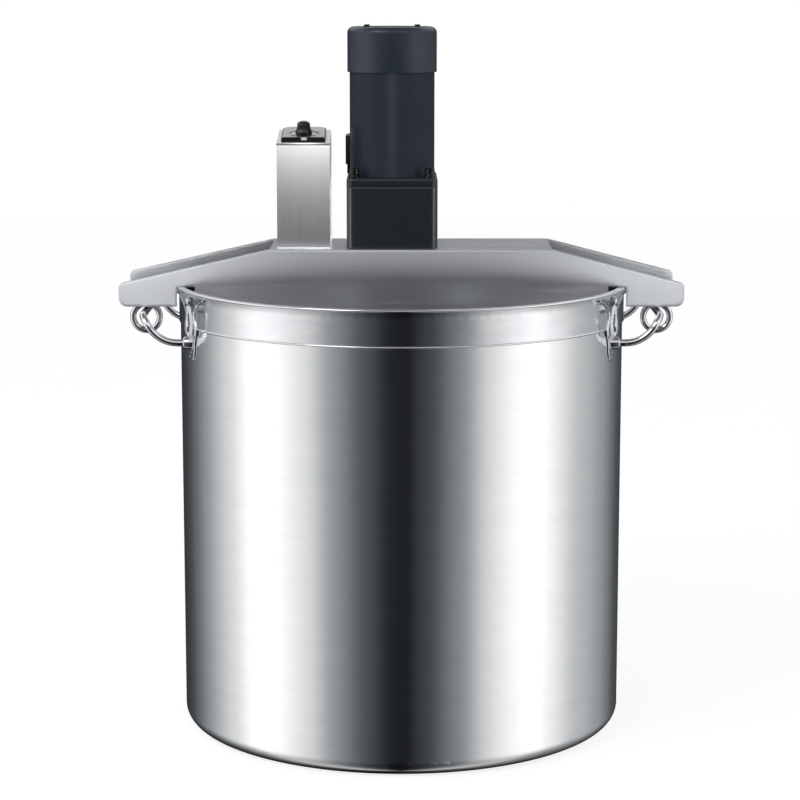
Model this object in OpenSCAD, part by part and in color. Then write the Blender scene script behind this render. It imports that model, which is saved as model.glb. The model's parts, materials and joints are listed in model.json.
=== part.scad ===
// Sauce cooking machine: a steel stock pot with a motor driven stirrer that hangs from a bridge on its rim.
// Millimetres, +Z up, the front of the machine faces -Y.
// The origin is the centre of the pot's underside.

/* [Pot] */
// Outside diameter of the pot wall
pot_d = 500; // [420:5:560]
// Height of the rim above the floor
pot_h = 505; // [400:5:600]
// Thickness of the pot wall
pot_wall = 1.5; // [1:0.5:3]
// Thickness of the pot floor
pot_floor = 3; // [2:0.5:6]
// Outside radius between the wall and the floor
pot_corner_r = 18; // [10:1:40]
// Height of the reinforcing band under the rim
band_h = 41; // [30:1:60]
// How far the rim stands out from the wall
rim_flare = 5.7; // [4:0.1:9]

/* [Handles] */
// Distance between the two legs of a handle
handle_span = 196; // [120:2:200]
// Diameter of the handle bar
bar_d = 8; // [6:0.5:10]
// How far the handle legs sit under the rim
leg_drop = 57; // [45:1:70]
// Outside diameter of the loose ring on each handle
ring_d = 36.8; // [32:0.2:42]
// Diameter of the ring wire
ring_wire_d = 7; // [5:0.5:8]

/* [Bridge] */
// Width of the bridge from front web to rear web
bridge_w = 120; // [115:1:150]
// Thickness of the bridge sheet
bridge_t = 2; // [1.5:0.5:3]
// Height of the bridge top above the rim
bridge_rise = 42; // [36:1:60]
// How far each bridge end reaches past the pot wall
bridge_over = 64; // [50:1:80]
// How far the bridge ears hang under the rim
ear_drop = 22; // [15:1:30]
// Length of the flat top on the controller side
plate_left = 146.5; // [142:0.5:160]
// Length of the flat top on the far side
plate_right = 167.5; // [100:0.5:190]

/* [Drive] */
// Width of the square gearbox
gear_w = 101.2; // [100:0.2:112]
// Height of the gearbox case
gear_h = 67; // [66:1:80]
// Thickness of the plate between gearbox and motor
plate_t = 8.5; // [8:0.5:12]
// Diameter of the motor housing
motor_d = 95; // [90:1:97]
// Length of the motor housing
motor_l = 117.5; // [110:0.5:150]
// Diameter of the fan cover
cover_d = 100; // [98:1:102]
// Height of the fan cover
cover_h = 50; // [46:1:70]
// Distance from the motor axis to the output shaft
gear_offset = 10.5; // [9.5:0.1:12]
// Diameter of the output shaft
output_d = 17; // [15:0.5:17]

/* [Controller] */
// Width of the controller column
box_w = 59; // [56:1:64]
// Depth of the controller column
box_d = 72; // [70:1:90]
// Height of the column at its front
box_h = 115.4; // [100:0.2:140]
// Slope of the control face in degrees
box_slope = 8.8; // [5:0.2:20]
// Distance from the pot axis to the middle of the column
box_x = 109.2; // [106:0.2:112]
// Diameter of the knob at its foot
knob_d = 18; // [15:0.1:24]
// Height of the knob
knob_h = 13.5; // [11:0.5:18]

/* [Stirrer] */
// Diameter of the stirrer shaft
shaft_d = 20; // [18:1:24]
// Height of the side arms of the stirrer
arm_h = 300; // [200:5:340]
// Gap between the scraper blades and the pot
scrape_gap = 2; // [1:0.5:4]

/* [Hidden] */
$fn = 96;
pot_r = pot_d / 2;
pot_ri = pot_r - pot_wall;
bead_r = 1.3;
// Radius of the rolled lower edge of the band.
hem_r = 1.1; // [0.8:0.1:1.4]
band_t = 1.5;
lip_h = 12;
rim_r = pot_r + rim_flare;
bridge_top = pot_h + bridge_rise;
bridge_hl = pot_r + bridge_over;
bridge_hw = bridge_w / 2;
bend_r = 3.5;
end_rise = 4;
ear_r = 9;
end_r = 7;
notch_gap = 0.6;
notch_out = sqrt(pow(rim_r, 2) - pow(bridge_hw - bridge_t, 2)) + notch_gap;
notch_in = notch_out - 20;
web_drop = 30;
tie_t = 2;
tie_x0 = rim_r + 9;
tie_x1 = bridge_hl - 2;
tie_z = pot_h - 7.5;
leg_y = handle_span / 2;
lug_az = asin(leg_y / pot_r);
lug_t = 3;
lug_r = pot_r + band_t + lug_t;
lug_drop = 78;
leg_z = pot_h - leg_drop;
boss_d = 14;
boss_l = sqrt(pow(lug_r, 2) - pow(leg_y, 2)) + 5 - (pot_r - 28);
leg_in = sqrt(pow(pot_r, 2) - pow(leg_y - bar_d / 2, 2)) + 0.8;
arc_r = 37;
arc_a = 58;
elbow_r = 14;
arc_x = pot_r - 4;
grip_x = arc_x + arc_r * sin(arc_a) + elbow_r * cos(arc_a);
grip_z = leg_z + arc_r * (1 - cos(arc_a)) + elbow_r * sin(arc_a);
ring_y = -bridge_hw + bridge_t + 10;
ring_hole_r = ring_d / 2 - ring_wire_d;
ring_c = grip_z + bar_d / 2 - ring_hole_r + 0.3;
rivet_z = pot_h - 11;
rivet_d = 4;
motor_x = -gear_offset;
case_z = bridge_top;
case_wall = 4;
case_r = 8;
bolt_at = gear_w / 2 - 8.6;
bolt_d = 6;
bolt_gap = 0.2;
plate_z = case_z + gear_h;
motor_z = plate_z + plate_t;
cover_z = motor_z + motor_l;
cover_t = 1.5;
run_fit = 0.03;
gear_m1 = 0.8;
gear_m2 = 1;
gear_m3 = 1.25;
teeth_1 = 15;
teeth_2 = 45;
teeth_3 = 14;
teeth_4 = 42;
teeth_5 = 14;
teeth_6 = 35;
dist_1 = gear_m1 * (teeth_1 + teeth_2) / 2;
dist_2 = gear_m2 * (teeth_3 + teeth_4) / 2;
dist_3 = gear_m3 * (teeth_5 + teeth_6) / 2;
ang_b = 132;
lay_b = [dist_3 * cos(ang_b), dist_3 * sin(ang_b)];
mb = [lay_b[0] - motor_x, lay_b[1]];
mb_len = norm(mb);
mb_ang = atan2(mb[1], mb[0]);
tri_a = acos((pow(dist_1, 2) + pow(mb_len, 2) - pow(dist_2, 2)) / (2 * dist_1 * mb_len));
lay_a = [motor_x + dist_1 * cos(mb_ang + tri_a), dist_1 * sin(mb_ang + tri_a)];
phase_1 = 0;
beta_1 = mb_ang + tri_a;
phase_2 = mesh_phase(beta_1, phase_1, teeth_1, teeth_2);
beta_2 = atan2(lay_b[1] - lay_a[1], lay_b[0] - lay_a[0]);
phase_3 = 0;
phase_4 = mesh_phase(beta_2, phase_3, teeth_3, teeth_4);
beta_3 = ang_b + 180;
phase_5 = 0;
phase_6 = mesh_phase(beta_3, phase_5, teeth_5, teeth_6);
layer_1 = case_z + 52;
layer_2 = case_z + 39.5;
layer_3 = case_z + 25;
wide_1 = 8;
wide_2 = 10;
wide_3 = 12;
lay_r = 4;
out_r = output_d / 2;
bearing_r = 17.5;
bearing_z = case_z + 2;
bearing_h = 20;
rotor_r = 5;
rotor_bearing_r = 13;
core_z = motor_z + 17;
core_h = 66;
core_r = 26;
fan_z = cover_z + 8;
fan_h = 22;
fan_r = 33;
post_r = 40;
box_mid = box_h + box_d / 2 * tan(box_slope);
box_back = box_h + box_d * tan(box_slope);
sheet_t = 1.5;
face_w = 49;
face_l = 57;
face_y = -3.5;
dial_y = -13;
face_r = 9;
face_t = 5;
dial_t = 0.8;
pot_shaft_r = 3;
knob_z = face_t + dial_t + 0.5;
grip_d = knob_d - 3.6;
out_end = bridge_top - 36;
couple_d = 36;
couple_z = out_end - 44;
couple_h = 70;
shaft_r = shaft_d / 2;
frame_z = pot_floor + 18;
bar_h = 26;
shaft_z = frame_z + bar_h + 2;
shaft_top = out_end - 4;
blade_r = pot_ri - scrape_gap;
frame_r = blade_r - 12;
frame_t = 8;
hub_d = 44;
hub_h = 62;
pin_d = 8;
collar_z = pot_floor + arm_h - 34;
paddle_z = pot_floor + 170;

function mesh_phase(beta, phase, za, zb) = beta + 180 - 180 / zb + (beta - phase) * za / zb;

// Half the angle of a gear tooth at radius r, for a 25 degree pressure angle.
function involute(a) = tan(a) * 180 / PI - a;
function tooth_half(m, z, slack, r) = let (
    rp = m * z / 2,
    rb = rp * cos(25),
    a = r > rb ? acos(rb / r) : 0
) 90 / z - slack / rp * 90 / PI + involute(25) - involute(a);

function gear_points(m, z, slack, phase) = let (
    rp = m * z / 2,
    rb = rp * cos(25),
    r0 = rp - 1.2 * m,
    r1 = max(rb, r0 + 0.1 * m),
    r3 = rp + 0.95 * m,
    radii = [r0, r1, (r1 + rp) / 2, rp, (rp + r3) / 2, r3]
) [for (i = [0:z - 1]) let (a = phase + i * 360 / z) each concat(
    [for (k = [0:5]) let (h = tooth_half(m, z, slack, radii[k])) radii[k] * [cos(a - h), sin(a - h)]],
    [for (k = [5:-1:0]) let (h = tooth_half(m, z, slack, radii[k])) radii[k] * [cos(a + h), sin(a + h)]]
)];

module gear(m, z, phase, h, bore) {
    difference() {
        linear_extrude(height = h) polygon(gear_points(m, z, 0.16, phase));
        translate([0, 0, -1]) cylinder(r = bore, h = h + 2);
    }
}

module ring_slab(ro, ri, h) {
    difference() {
        cylinder(r = ro, h = h);
        translate([0, 0, -1]) cylinder(r = ri, h = h + 2);
    }
}

module rounded_square(w, d, r) {
    square([w - 2 * r, d], center = true);
    square([w, d - 2 * r], center = true);
    for (x = [-1, 1])
        for (y = [-1, 1])
            translate([x * (w / 2 - r), y * (d / 2 - r)]) circle(r = r);
}

// A round rod between two points.
module rod(p, q, r) {
    v = q - p;
    len = norm(v);
    translate(p)
        rotate([0, acos(v[2] / len), atan2(v[1], v[0])])
            cylinder(r = r, h = len);
}

// Outline of the pot wall, from radius zero, used to fit things against it.
module pot_profile(r, corner) {
    square([r - corner, pot_h]);
    translate([0, corner]) square([r, pot_h - corner]);
    intersection() {
        translate([r - corner, corner]) circle(r = corner);
        square([r, pot_h]);
    }
}

module band_profile() {
    w = rim_flare - bead_r - band_t;
    arc = (pow(lip_h, 2) + pow(w, 2)) / (2 * w);
    translate([pot_r, pot_h - band_h]) square([band_t, band_h]);
    difference() {
        translate([pot_r, pot_h - bead_r - lip_h]) square([rim_flare - bead_r, lip_h + bead_r]);
        translate([pot_r + band_t + arc, pot_h - bead_r - lip_h]) circle(r = arc);
    }
    translate([pot_r + rim_flare - bead_r, pot_h - bead_r]) circle(r = bead_r);
    translate([pot_r + hem_r + 0.05, pot_h - band_h + hem_r]) circle(r = hem_r);
}

module pot_envelope() {
    cylinder(r = pot_r, h = pot_h);
    rotate_extrude() band_profile();
}

module pot_shell() {
    color("silver")
        difference() {
            rotate_extrude() pot_profile(pot_r, pot_corner_r);
            translate([0, 0, pot_floor])
                rotate_extrude() pot_profile(pot_ri, pot_corner_r - pot_wall);
            rivet_holes();
        }
}

module rim_band() {
    color("silver")
        difference() {
            rotate_extrude() band_profile();
            rivet_holes();
        }
}

module each_lug() {
    for (a = [lug_az, -lug_az, 180 - lug_az, 180 + lug_az])
        rotate(a) children();
}

module rivet_holes() {
    each_lug()
        translate([pot_r - 20, 0, rivet_z])
            rotate([0, 90, 0]) cylinder(d = rivet_d, h = 40);
}

module bracket_rivets() {
    r0 = pot_ri - 1.2;
    color("gainsboro")
        each_lug()
            translate([r0, 0, rivet_z])
                rotate([0, 90, 0]) {
                    cylinder(d = rivet_d, h = lug_r - r0 + 1.6);
                    cylinder(d = 8, h = 1);
                    translate([0, 0, lug_r - r0]) cylinder(d = 7.6, h = 0.8);
                    translate([0, 0, lug_r - r0 + 0.8]) cylinder(d1 = 7.6, d2 = 4, h = 1.5);
                }
}

// Half of the bracket outline: distance along the wall, height under the rim.
lug_half = [[44, -4.5], [44, -7], [36, -9], [28, -12], [21, -16], [16, -21], [14, -26], [15, -31],
    [18, -36], [19.5, -41], [18, -47], [14, -52], [11.5, -58], [11, -66], [9, -71], [4, -76.5], [0, -lug_drop]];

function lug_outline() = concat([for (p = lug_half) p], [for (i = [len(lug_half) - 2:-1:0]) [-lug_half[i][0], lug_half[i][1]]]);

module lug_skin_body() {
    rotate_extrude() {
        translate([pot_r - 2, pot_h - lug_drop - 2]) square([2 + lug_t, lug_drop]);
        translate([pot_r - 2, pot_h - band_h - 4]) square([2 + band_t + lug_t, band_h]);
    }
}

module bracket(side, front) {
    a = side > 0 ? (front ? -lug_az : lug_az) : (front ? 180 + lug_az : 180 - lug_az);
    y = front ? -leg_y : leg_y;
    color("darkgray")
        difference() {
            union() {
                intersection() {
                    lug_skin_body();
                    rotate(a)
                        translate([pot_r - 20, 0, pot_h])
                            rotate([90, 0, 90])
                                linear_extrude(height = 40)
                                    difference() {
                                        polygon(lug_outline());
                                        hull() {
                                            translate([0, -27]) circle(d = 7);
                                            translate([0, -42]) circle(d = 9);
                                        }
                                    }
                }
                rotate(a)
                    for (s = [-1, 1]) {
                        rod([lug_r - 1, s * 2.6, pot_h - 18], [lug_r - 0.6, s * 8.2, pot_h - 33], 2.2);
                        rod([lug_r - 0.6, s * 8.2, pot_h - 32], [lug_r - 1, s * 3, pot_h - 50], 2.2);
                    }
                translate([side * (pot_r - 28), y, leg_z])
                    rotate([0, side * 90, 0]) cylinder(d = boss_d, h = boss_l);
            }
            pot_envelope();
            translate([side * leg_in, y, leg_z])
                rotate([0, side * 90, 0]) cylinder(d = bar_d, h = 60);
            rotate(a)
                translate([pot_r - 20, 0, rivet_z])
                    rotate([0, 90, 0]) cylinder(d = rivet_d, h = 40);
        }
}

// Front leg of a handle on the right side, up to the start of the straight grip.
module handle_leg() {
    arc_end = [arc_x + arc_r * sin(arc_a), -leg_y, leg_z + arc_r * (1 - cos(arc_a))];
    translate([leg_in, -leg_y, leg_z])
        rotate([0, 90, 0]) cylinder(d = bar_d, h = arc_x - leg_in);
    translate([arc_x, -leg_y, leg_z + arc_r])
        rotate([90, 90, 0])
            rotate_extrude(angle = arc_a) translate([arc_r, 0]) circle(d = bar_d);
    translate(arc_end + [0, elbow_r, 0])
        rotate([0, -arc_a, 0])
            rotate([0, 0, -90])
                rotate_extrude(angle = 90) translate([elbow_r, 0]) circle(d = bar_d);
    for (p = [[arc_x, -leg_y, leg_z], arc_end, [grip_x, -leg_y + elbow_r, grip_z]])
        translate(p) sphere(d = bar_d + 0.1);
}

module handle() {
    handle_leg();
    mirror([0, 1, 0]) handle_leg();
    translate([grip_x, -leg_y + elbow_r, grip_z])
        rotate([-90, 0, 0]) cylinder(d = bar_d, h = 2 * (leg_y - elbow_r));
}

module right_handle() {
    color("silver") handle();
}

module left_handle() {
    color("silver") mirror([1, 0, 0]) handle();
}

module loose_ring(side) {
    color("silver")
        translate([side * grip_x, ring_y, ring_c])
            rotate([90, 0, 0])
                rotate_extrude()
                    translate([(ring_d - ring_wire_d) / 2, 0]) circle(d = ring_wire_d);
}

function slope_of(flat) = atan((bridge_top - pot_h - end_rise) / (bridge_hl - flat));

function arc_points(c, r, a0, a1, n) = [for (i = [0:n]) let (a = a0 + (a1 - a0) * i / n) c + r * [cos(a), sin(a)]];

// Right end of a web: the rounded ear, then the rounded corner under the sloping top.
function web_end(s) = concat(
    arc_points([bridge_hl - ear_r, pot_h - ear_drop + ear_r], ear_r, -90, 0, 10),
    arc_points([bridge_hl - end_r, pot_h + end_rise + end_r * tan(s) - end_r / cos(s)], end_r, 0, 90 - s, 10)
);

function flipped(pts) = [for (i = [len(pts) - 1:-1:0]) [-pts[i][0], pts[i][1]]];

module web_outline() {
    e = pot_h - ear_drop;
    under = [[notch_in, pot_h - web_drop], [notch_in, pot_h], [notch_out, pot_h], [notch_out, e]];
    polygon(concat(
        under, web_end(slope_of(plate_right)), [[plate_right, bridge_top], [-plate_left, bridge_top]],
        flipped(web_end(slope_of(plate_left))), flipped(under)
    ));
}

module channel_profile(w, r, z0, z1) {
    translate([-w / 2, z0]) square([w, z1 - z0 - r]);
    translate([-w / 2 + r, z0]) square([w - 2 * r, z1 - z0]);
    for (s = [-1, 1])
        translate([s * (w / 2 - r), z1 - r]) circle(r = r);
}

module bridge() {
    wi = bridge_w - 2 * bridge_t;
    color("lightgray")
        difference() {
            intersection() {
                translate([-bridge_hl, 0, 0])
                    rotate([90, 0, 90])
                        linear_extrude(height = 2 * bridge_hl)
                            channel_profile(bridge_w, bend_r, pot_h - 60, bridge_top);
                translate([0, bridge_hw, 0])
                    rotate([90, 0, 0]) linear_extrude(height = bridge_w) web_outline();
            }
            translate([-bridge_hl - 1, 0, 0])
                rotate([90, 0, 90])
                    linear_extrude(height = 2 * bridge_hl + 2)
                        channel_profile(wi, bend_r - bridge_t, pot_h - 61, bridge_top - bridge_t);
            translate([-bridge_hl - 1, -wi / 2 + 1.5, pot_h])
                cube([bridge_hl + 1 - plate_left, wi - 3, 100]);
            translate([plate_right, -wi / 2 + 1.5, pot_h])
                cube([bridge_hl + 1 - plate_right, wi - 3, 100]);
            translate([0, 0, bridge_top - 20]) cylinder(r = out_r + 8, h = 30);
            bolt_places() translate([0, 0, bridge_top - 20]) cylinder(d = bolt_d + 2 * bolt_gap, h = 30);
            translate([-box_x, 0, bridge_top - 20]) cylinder(d = 16, h = 30);
        }
}

// Plate that ties the webs at one end of the bridge, with a tab bent down along each web.
module end_plate() {
    wi = bridge_w - 2 * bridge_t;
    color("gray") {
        translate([tie_x0, -wi / 2, tie_z]) cube([tie_x1 - tie_x0, wi, tie_t]);
        for (s = [-1, 1])
            translate([tie_x0 + 4, s > 0 ? wi / 2 - tie_t : -wi / 2, tie_z - 9])
                cube([tie_x1 - tie_x0 - 16, tie_t, 10]);
    }
}

module right_end_plate() {
    end_plate();
}

module left_end_plate() {
    mirror([1, 0, 0]) end_plate();
}

module bolt_places() {
    translate([motor_x, 0, 0])
        for (x = [-1, 1])
            for (y = [-1, 1])
                translate([x * bolt_at, y * bolt_at, 0]) children();
}

module gearbox_case() {
    wi = gear_w - 2 * case_wall;
    floor_t = 6;
    color([0.16, 0.19, 0.21])
        difference() {
            translate([motor_x, 0, case_z])
                linear_extrude(height = gear_h) rounded_square(gear_w, gear_w, case_r);
            difference() {
                translate([motor_x, 0, case_z + floor_t])
                    linear_extrude(height = gear_h) rounded_square(wi, wi, case_r - case_wall);
                bolt_places() translate([0, 0, case_z]) cylinder(r = 6.2, h = gear_h);
                translate([0, 0, case_z]) cylinder(r = bearing_r + 3, h = bearing_z - case_z + bearing_h);
                translate([lay_a[0], lay_a[1], case_z]) cylinder(r = lay_r + 4, h = 14);
                translate([lay_b[0], lay_b[1], case_z]) cylinder(r = lay_r + 4, h = 14);
            }
            translate([0, 0, bearing_z]) cylinder(r = bearing_r, h = 60);
            translate([0, 0, case_z - 1]) cylinder(r = out_r + 1, h = 20);
            translate([lay_a[0], lay_a[1], case_z + 2]) cylinder(r = lay_r + run_fit, h = 60);
            translate([lay_b[0], lay_b[1], case_z + 2]) cylinder(r = lay_r + run_fit, h = 60);
            bolt_places() translate([0, 0, case_z - 1]) cylinder(d = bolt_d + 2 * bolt_gap, h = gear_h + 2);
        }
}

module gearbox_plate() {
    color([0.16, 0.19, 0.21])
        difference() {
            translate([motor_x, 0, plate_z])
                linear_extrude(height = plate_t) rounded_square(gear_w, gear_w, case_r);
            translate([motor_x, 0, plate_z - 1]) cylinder(r = rotor_r + 1, h = plate_t + 2);
            translate([motor_x, 0, motor_z - 7]) cylinder(r = rotor_bearing_r, h = 10);
            translate([lay_a[0], lay_a[1], plate_z - 1]) cylinder(r = lay_r + run_fit, h = 7);
            translate([lay_b[0], lay_b[1], plate_z - 1]) cylinder(r = lay_r + run_fit, h = 7);
            bolt_places() translate([0, 0, plate_z - 1]) cylinder(d = bolt_d + 2 * bolt_gap, h = plate_t + 2);
        }
}

module gearbox_bolts() {
    color("black")
        bolt_places() {
            translate([0, 0, bridge_top - bridge_t - 12])
                cylinder(d = bolt_d, h = motor_z - bridge_top + bridge_t + 12);
            translate([0, 0, motor_z])
                difference() {
                    union() {
                        cylinder(d = 12.4, h = 1.4);
                        cylinder(d = 10.6, h = 10);
                    }
                    translate([0, 0, 5]) cylinder(d = 5.8, h = 6, $fn = 6);
                }
        }
}

module bolt_nuts() {
    color("silver")
        bolt_places()
            translate([0, 0, bridge_top - bridge_t - 6.5])
                difference() {
                    union() {
                        translate([0, 0, 5.1]) cylinder(d = 12, h = 1.4);
                        cylinder(d = 11.2, h = 5.1, $fn = 6);
                    }
                    translate([0, 0, -1]) cylinder(d = bolt_d, h = 12);
                }
}

module output_bearings() {
    color("gainsboro")
        for (i = [0, 1])
            translate([0, 0, bearing_z + i * bearing_h / 2 + 0.1])
                ring_slab(bearing_r, out_r + run_fit, bearing_h / 2 - 0.2);
}

module motor_housing() {
    color([0.18, 0.19, 0.23])
        translate([motor_x, 0, motor_z]) ring_slab(motor_d / 2, motor_d / 2 - 3, motor_l);
}

module end_shield() {
    color("dimgray")
        translate([motor_x, 0, cover_z]) {
            difference() {
                union() {
                    translate([0, 0, -10]) cylinder(r = motor_d / 2 - 3, h = 10);
                    cylinder(r = motor_d / 2, h = 3);
                    for (i = [0:3])
                        rotate(45 + i * 90)
                            translate([post_r, 0, 0]) cylinder(r = 3.6, h = cover_h - cover_t);
                }
                translate([0, 0, -11]) cylinder(r = rotor_r + 1, h = 20);
                translate([0, 0, -11]) cylinder(r = rotor_bearing_r, h = 8);
                for (i = [0:3])
                    rotate(45 + i * 90)
                        translate([post_r, 0, cover_h - cover_t - 12]) cylinder(d = 3, h = 20);
            }
        }
}

module motor_bearings() {
    color("gainsboro")
        translate([motor_x, 0, 0]) {
            translate([0, 0, motor_z - 7]) ring_slab(rotor_bearing_r, rotor_r + run_fit, 7);
            translate([0, 0, cover_z - 10]) ring_slab(rotor_bearing_r, rotor_r + run_fit, 7);
        }
}

module stator() {
    color("slategray")
        translate([motor_x, 0, core_z]) ring_slab(motor_d / 2 - 3, core_r + 0.5, core_h);
}

module windings() {
    color("peru")
        translate([motor_x, 0, 0]) {
            translate([0, 0, core_z + core_h]) ring_slab(41, core_r + 3, 11);
            translate([0, 0, core_z - 11]) ring_slab(41, core_r + 3, 11);
        }
}

module cover_solid(grow, top) {
    r = cover_d / 2 + grow;
    c = 7 + grow;
    rotate_extrude() {
        square([r, top - c]);
        square([r - c, top]);
        intersection() {
            translate([r - c, top - c]) circle(r = c);
            square([r, top]);
        }
    }
}

module fan_cover() {
    color([0.2, 0.22, 0.27])
        translate([motor_x, 0, cover_z])
            difference() {
                cover_solid(0, cover_h);
                translate([0, 0, -0.01]) cover_solid(-cover_t, cover_h - cover_t + 0.01);
                for (i = [0:23])
                    rotate(i * 15 + 7.5)
                        translate([16, -1.5, cover_h - 8]) cube([i % 2 == 0 ? 19 : 14, 3, 10]);
                for (i = [0:3])
                    rotate(45 + i * 90)
                        translate([post_r, 0, cover_h - 10]) cylinder(d = 3.4, h = 12);
            }
}

module cover_screws() {
    color("black")
        translate([motor_x, 0, cover_z + cover_h])
            for (i = [0:3])
                rotate(45 + i * 90)
                    translate([post_r, 0, 0]) {
                        translate([0, 0, -11]) cylinder(d = 3, h = 11);
                        difference() {
                            cylinder(d = 6, h = 1.8);
                            translate([0, 0, 0.9]) cube([7, 0.9, 2], center = true);
                        }
                    }
}

module terminal_box() {
    z = motor_z + 12;
    color([0.12, 0.12, 0.14])
        difference() {
            translate([motor_x - 53, 30, z]) cube([46, 34, 32]);
            translate([motor_x, 0, motor_z - 1]) cylinder(r = motor_d / 2, h = motor_l);
            translate([motor_x - 51, 46, z + 2]) cube([42, 16, 28]);
            translate([motor_x - 30, 54, z - 5]) cylinder(d = 12, h = 12);
        }
}

module column_outline(inset) {
    polygon([
        [-box_d / 2 + inset, 0], [box_d / 2 - inset, 0],
        [box_d / 2 - inset, box_back - inset - inset * tan(box_slope)],
        [-box_d / 2 + inset, box_h - inset + inset * tan(box_slope)]
    ]);
}

module in_column() {
    translate([-box_x, 0, bridge_top]) children();
}

module on_slope() {
    translate([-box_x, 0, bridge_top + box_mid])
        rotate([box_slope, 0, 0]) children();
}

module control_box() {
    color("lightgray")
        difference() {
            union() {
                difference() {
                    in_column()
                        translate([-box_w / 2, 0, 0])
                            rotate([90, 0, 90]) linear_extrude(height = box_w) column_outline(0);
                    in_column()
                        translate([-box_w / 2 + sheet_t, 0, -0.01])
                            rotate([90, 0, 90])
                                linear_extrude(height = box_w - 2 * sheet_t) column_outline(sheet_t);
                    in_column()
                        translate([-box_w / 2 - 1, box_d / 2 - sheet_t, -1]) cube([box_w + 2, 10, 200]);
                }
                in_column()
                    for (s = [-1, 1])
                        translate([s > 0 ? box_w / 2 - 12 : -box_w / 2, box_d / 2 - 2 * sheet_t, 0])
                            cube([12, sheet_t, 100]);
                in_column()
                    translate([-box_w / 2, -box_d / 2, 0]) cube([box_w, 12, sheet_t]);
            }
            on_slope() translate([0, dial_y, -5]) cylinder(r = 5, h = 10);
            back_screw_places() rotate([90, 0, 0]) cylinder(d = 3, h = 20, center = true);
        }
}

module back_screw_places() {
    in_column()
        for (s = [-1, 1])
            for (z = [14, 90])
                translate([s * (box_w / 2 - 6), box_d / 2, z]) children();
}

module control_box_back() {
    color("lightgray")
        difference() {
            in_column()
                translate([-box_w / 2, box_d / 2 - sheet_t, 0])
                    cube([box_w, sheet_t, box_back - sheet_t * 2]);
            back_screw_places() rotate([90, 0, 0]) cylinder(d = 3, h = 20, center = true);
            in_column()
                translate([0, box_d / 2, 30])
                    rotate([90, 0, 0]) cylinder(d = 12, h = 20, center = true);
        }
}

module back_screws() {
    color("silver")
        back_screw_places() {
            rotate([90, 0, 0]) cylinder(d = 3, h = 9);
            rotate([-90, 0, 0]) cylinder(d = 6, h = 2);
        }
}

module cable_gland() {
    color("black")
        in_column()
            translate([0, box_d / 2, 30])
                rotate([-90, 0, 0])
                    difference() {
                        union() {
                            translate([0, 0, -8]) cylinder(d = 12, h = 8.1);
                            cylinder(d = 19, h = 4.5, $fn = 6);
                            translate([0, 0, 4.5]) cylinder(d = 15, h = 9);
                            translate([0, 0, -5.5]) cylinder(d = 17, h = 4, $fn = 6);
                        }
                        translate([0, 0, -9]) cylinder(d = 7, h = 30);
                    }
}

module face_outline(w, l) {
    translate([-w / 2, -l / 2]) square([w, l - face_r]);
    translate([-w / 2 + face_r, -l / 2]) square([w - 2 * face_r, l]);
    for (s = [-1, 1])
        translate([s * (w / 2 - face_r), l / 2 - face_r]) circle(r = face_r);
}

module control_faceplate() {
    color("black")
        on_slope()
            difference() {
                translate([0, face_y, 0])
                    linear_extrude(height = face_t) face_outline(face_w, face_l);
                translate([0, dial_y, -1]) cylinder(r = 5, h = 20);
            }
}

module dial_plate() {
    color("gainsboro")
        on_slope()
            translate([0, 0, face_t])
                difference() {
                    translate([0, face_y, 0])
                        linear_extrude(height = dial_t) face_outline(face_w - 3, face_l - 3);
                    translate([0, dial_y, -1]) cylinder(r = 5, h = 20);
                }
}

module potentiometer() {
    color("dimgray")
        on_slope()
            translate([0, dial_y, 0])
                difference() {
                    union() {
                        translate([0, 0, -sheet_t - 10]) cylinder(r = 11, h = 10);
                        translate([0, 0, -sheet_t]) cylinder(r = 4.8, h = sheet_t + face_t + dial_t - 0.2);
                    }
                    translate([0, 0, -sheet_t - 8]) cylinder(r = pot_shaft_r + run_fit, h = 30);
                }
}

module potentiometer_shaft() {
    color("silver")
        on_slope()
            translate([0, dial_y, -sheet_t - 7.5])
                cylinder(r = pot_shaft_r, h = sheet_t + 7.5 + knob_z + knob_h - 3);
}

module knob_grip() {
    difference() {
        circle(d = grip_d);
        for (i = [0:11])
            rotate(i * 30 + 15)
                translate([grip_d / 2 + 0.3, 0]) circle(r = 1.1);
    }
}

module knob() {
    color("black")
        on_slope()
            translate([0, dial_y, knob_z])
                difference() {
                    union() {
                        cylinder(d = knob_d, h = 1.6);
                        translate([0, 0, 1.6]) cylinder(d1 = knob_d, d2 = grip_d, h = 3.4);
                        translate([0, 0, 5]) linear_extrude(height = knob_h - 6) knob_grip();
                        translate([0, 0, knob_h - 1]) cylinder(d1 = grip_d - 2.6, d2 = grip_d - 4.6, h = 1);
                    }
                    translate([0, 0, -1]) cylinder(r = pot_shaft_r, h = knob_h - 2);
                }
}

module speed_board() {
    color("darkgreen")
        in_column() {
            translate([-20, -box_d / 2 + sheet_t + 8, 22]) cube([40, 1.6, 70]);
            for (x = [-14, 14])
                for (z = [28, 86])
                    translate([x, -box_d / 2 + sheet_t, z])
                        rotate([-90, 0, 0]) cylinder(d = 5, h = 8);
            translate([-12, -box_d / 2 + sheet_t + 9.6, 30]) cube([24, 14, 22]);
            translate([0, -box_d / 2 + sheet_t + 9.6, 74]) rotate([-90, 0, 0]) cylinder(d = 14, h = 18);
        }
}

module rotor_shaft() {
    color("silver")
        translate([motor_x, 0, 0]) {
            translate([0, 0, layer_1])
                linear_extrude(height = wide_1 + 1)
                    polygon(gear_points(gear_m1, teeth_1, 0.16, phase_1));
            translate([0, 0, layer_1 + wide_1 + 1])
                cylinder(r = rotor_r, h = fan_z + fan_h - 6 - layer_1 - wide_1 - 1);
        }
}

module rotor_core() {
    color("silver")
        translate([motor_x, 0, core_z]) ring_slab(core_r, rotor_r, core_h);
}

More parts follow.
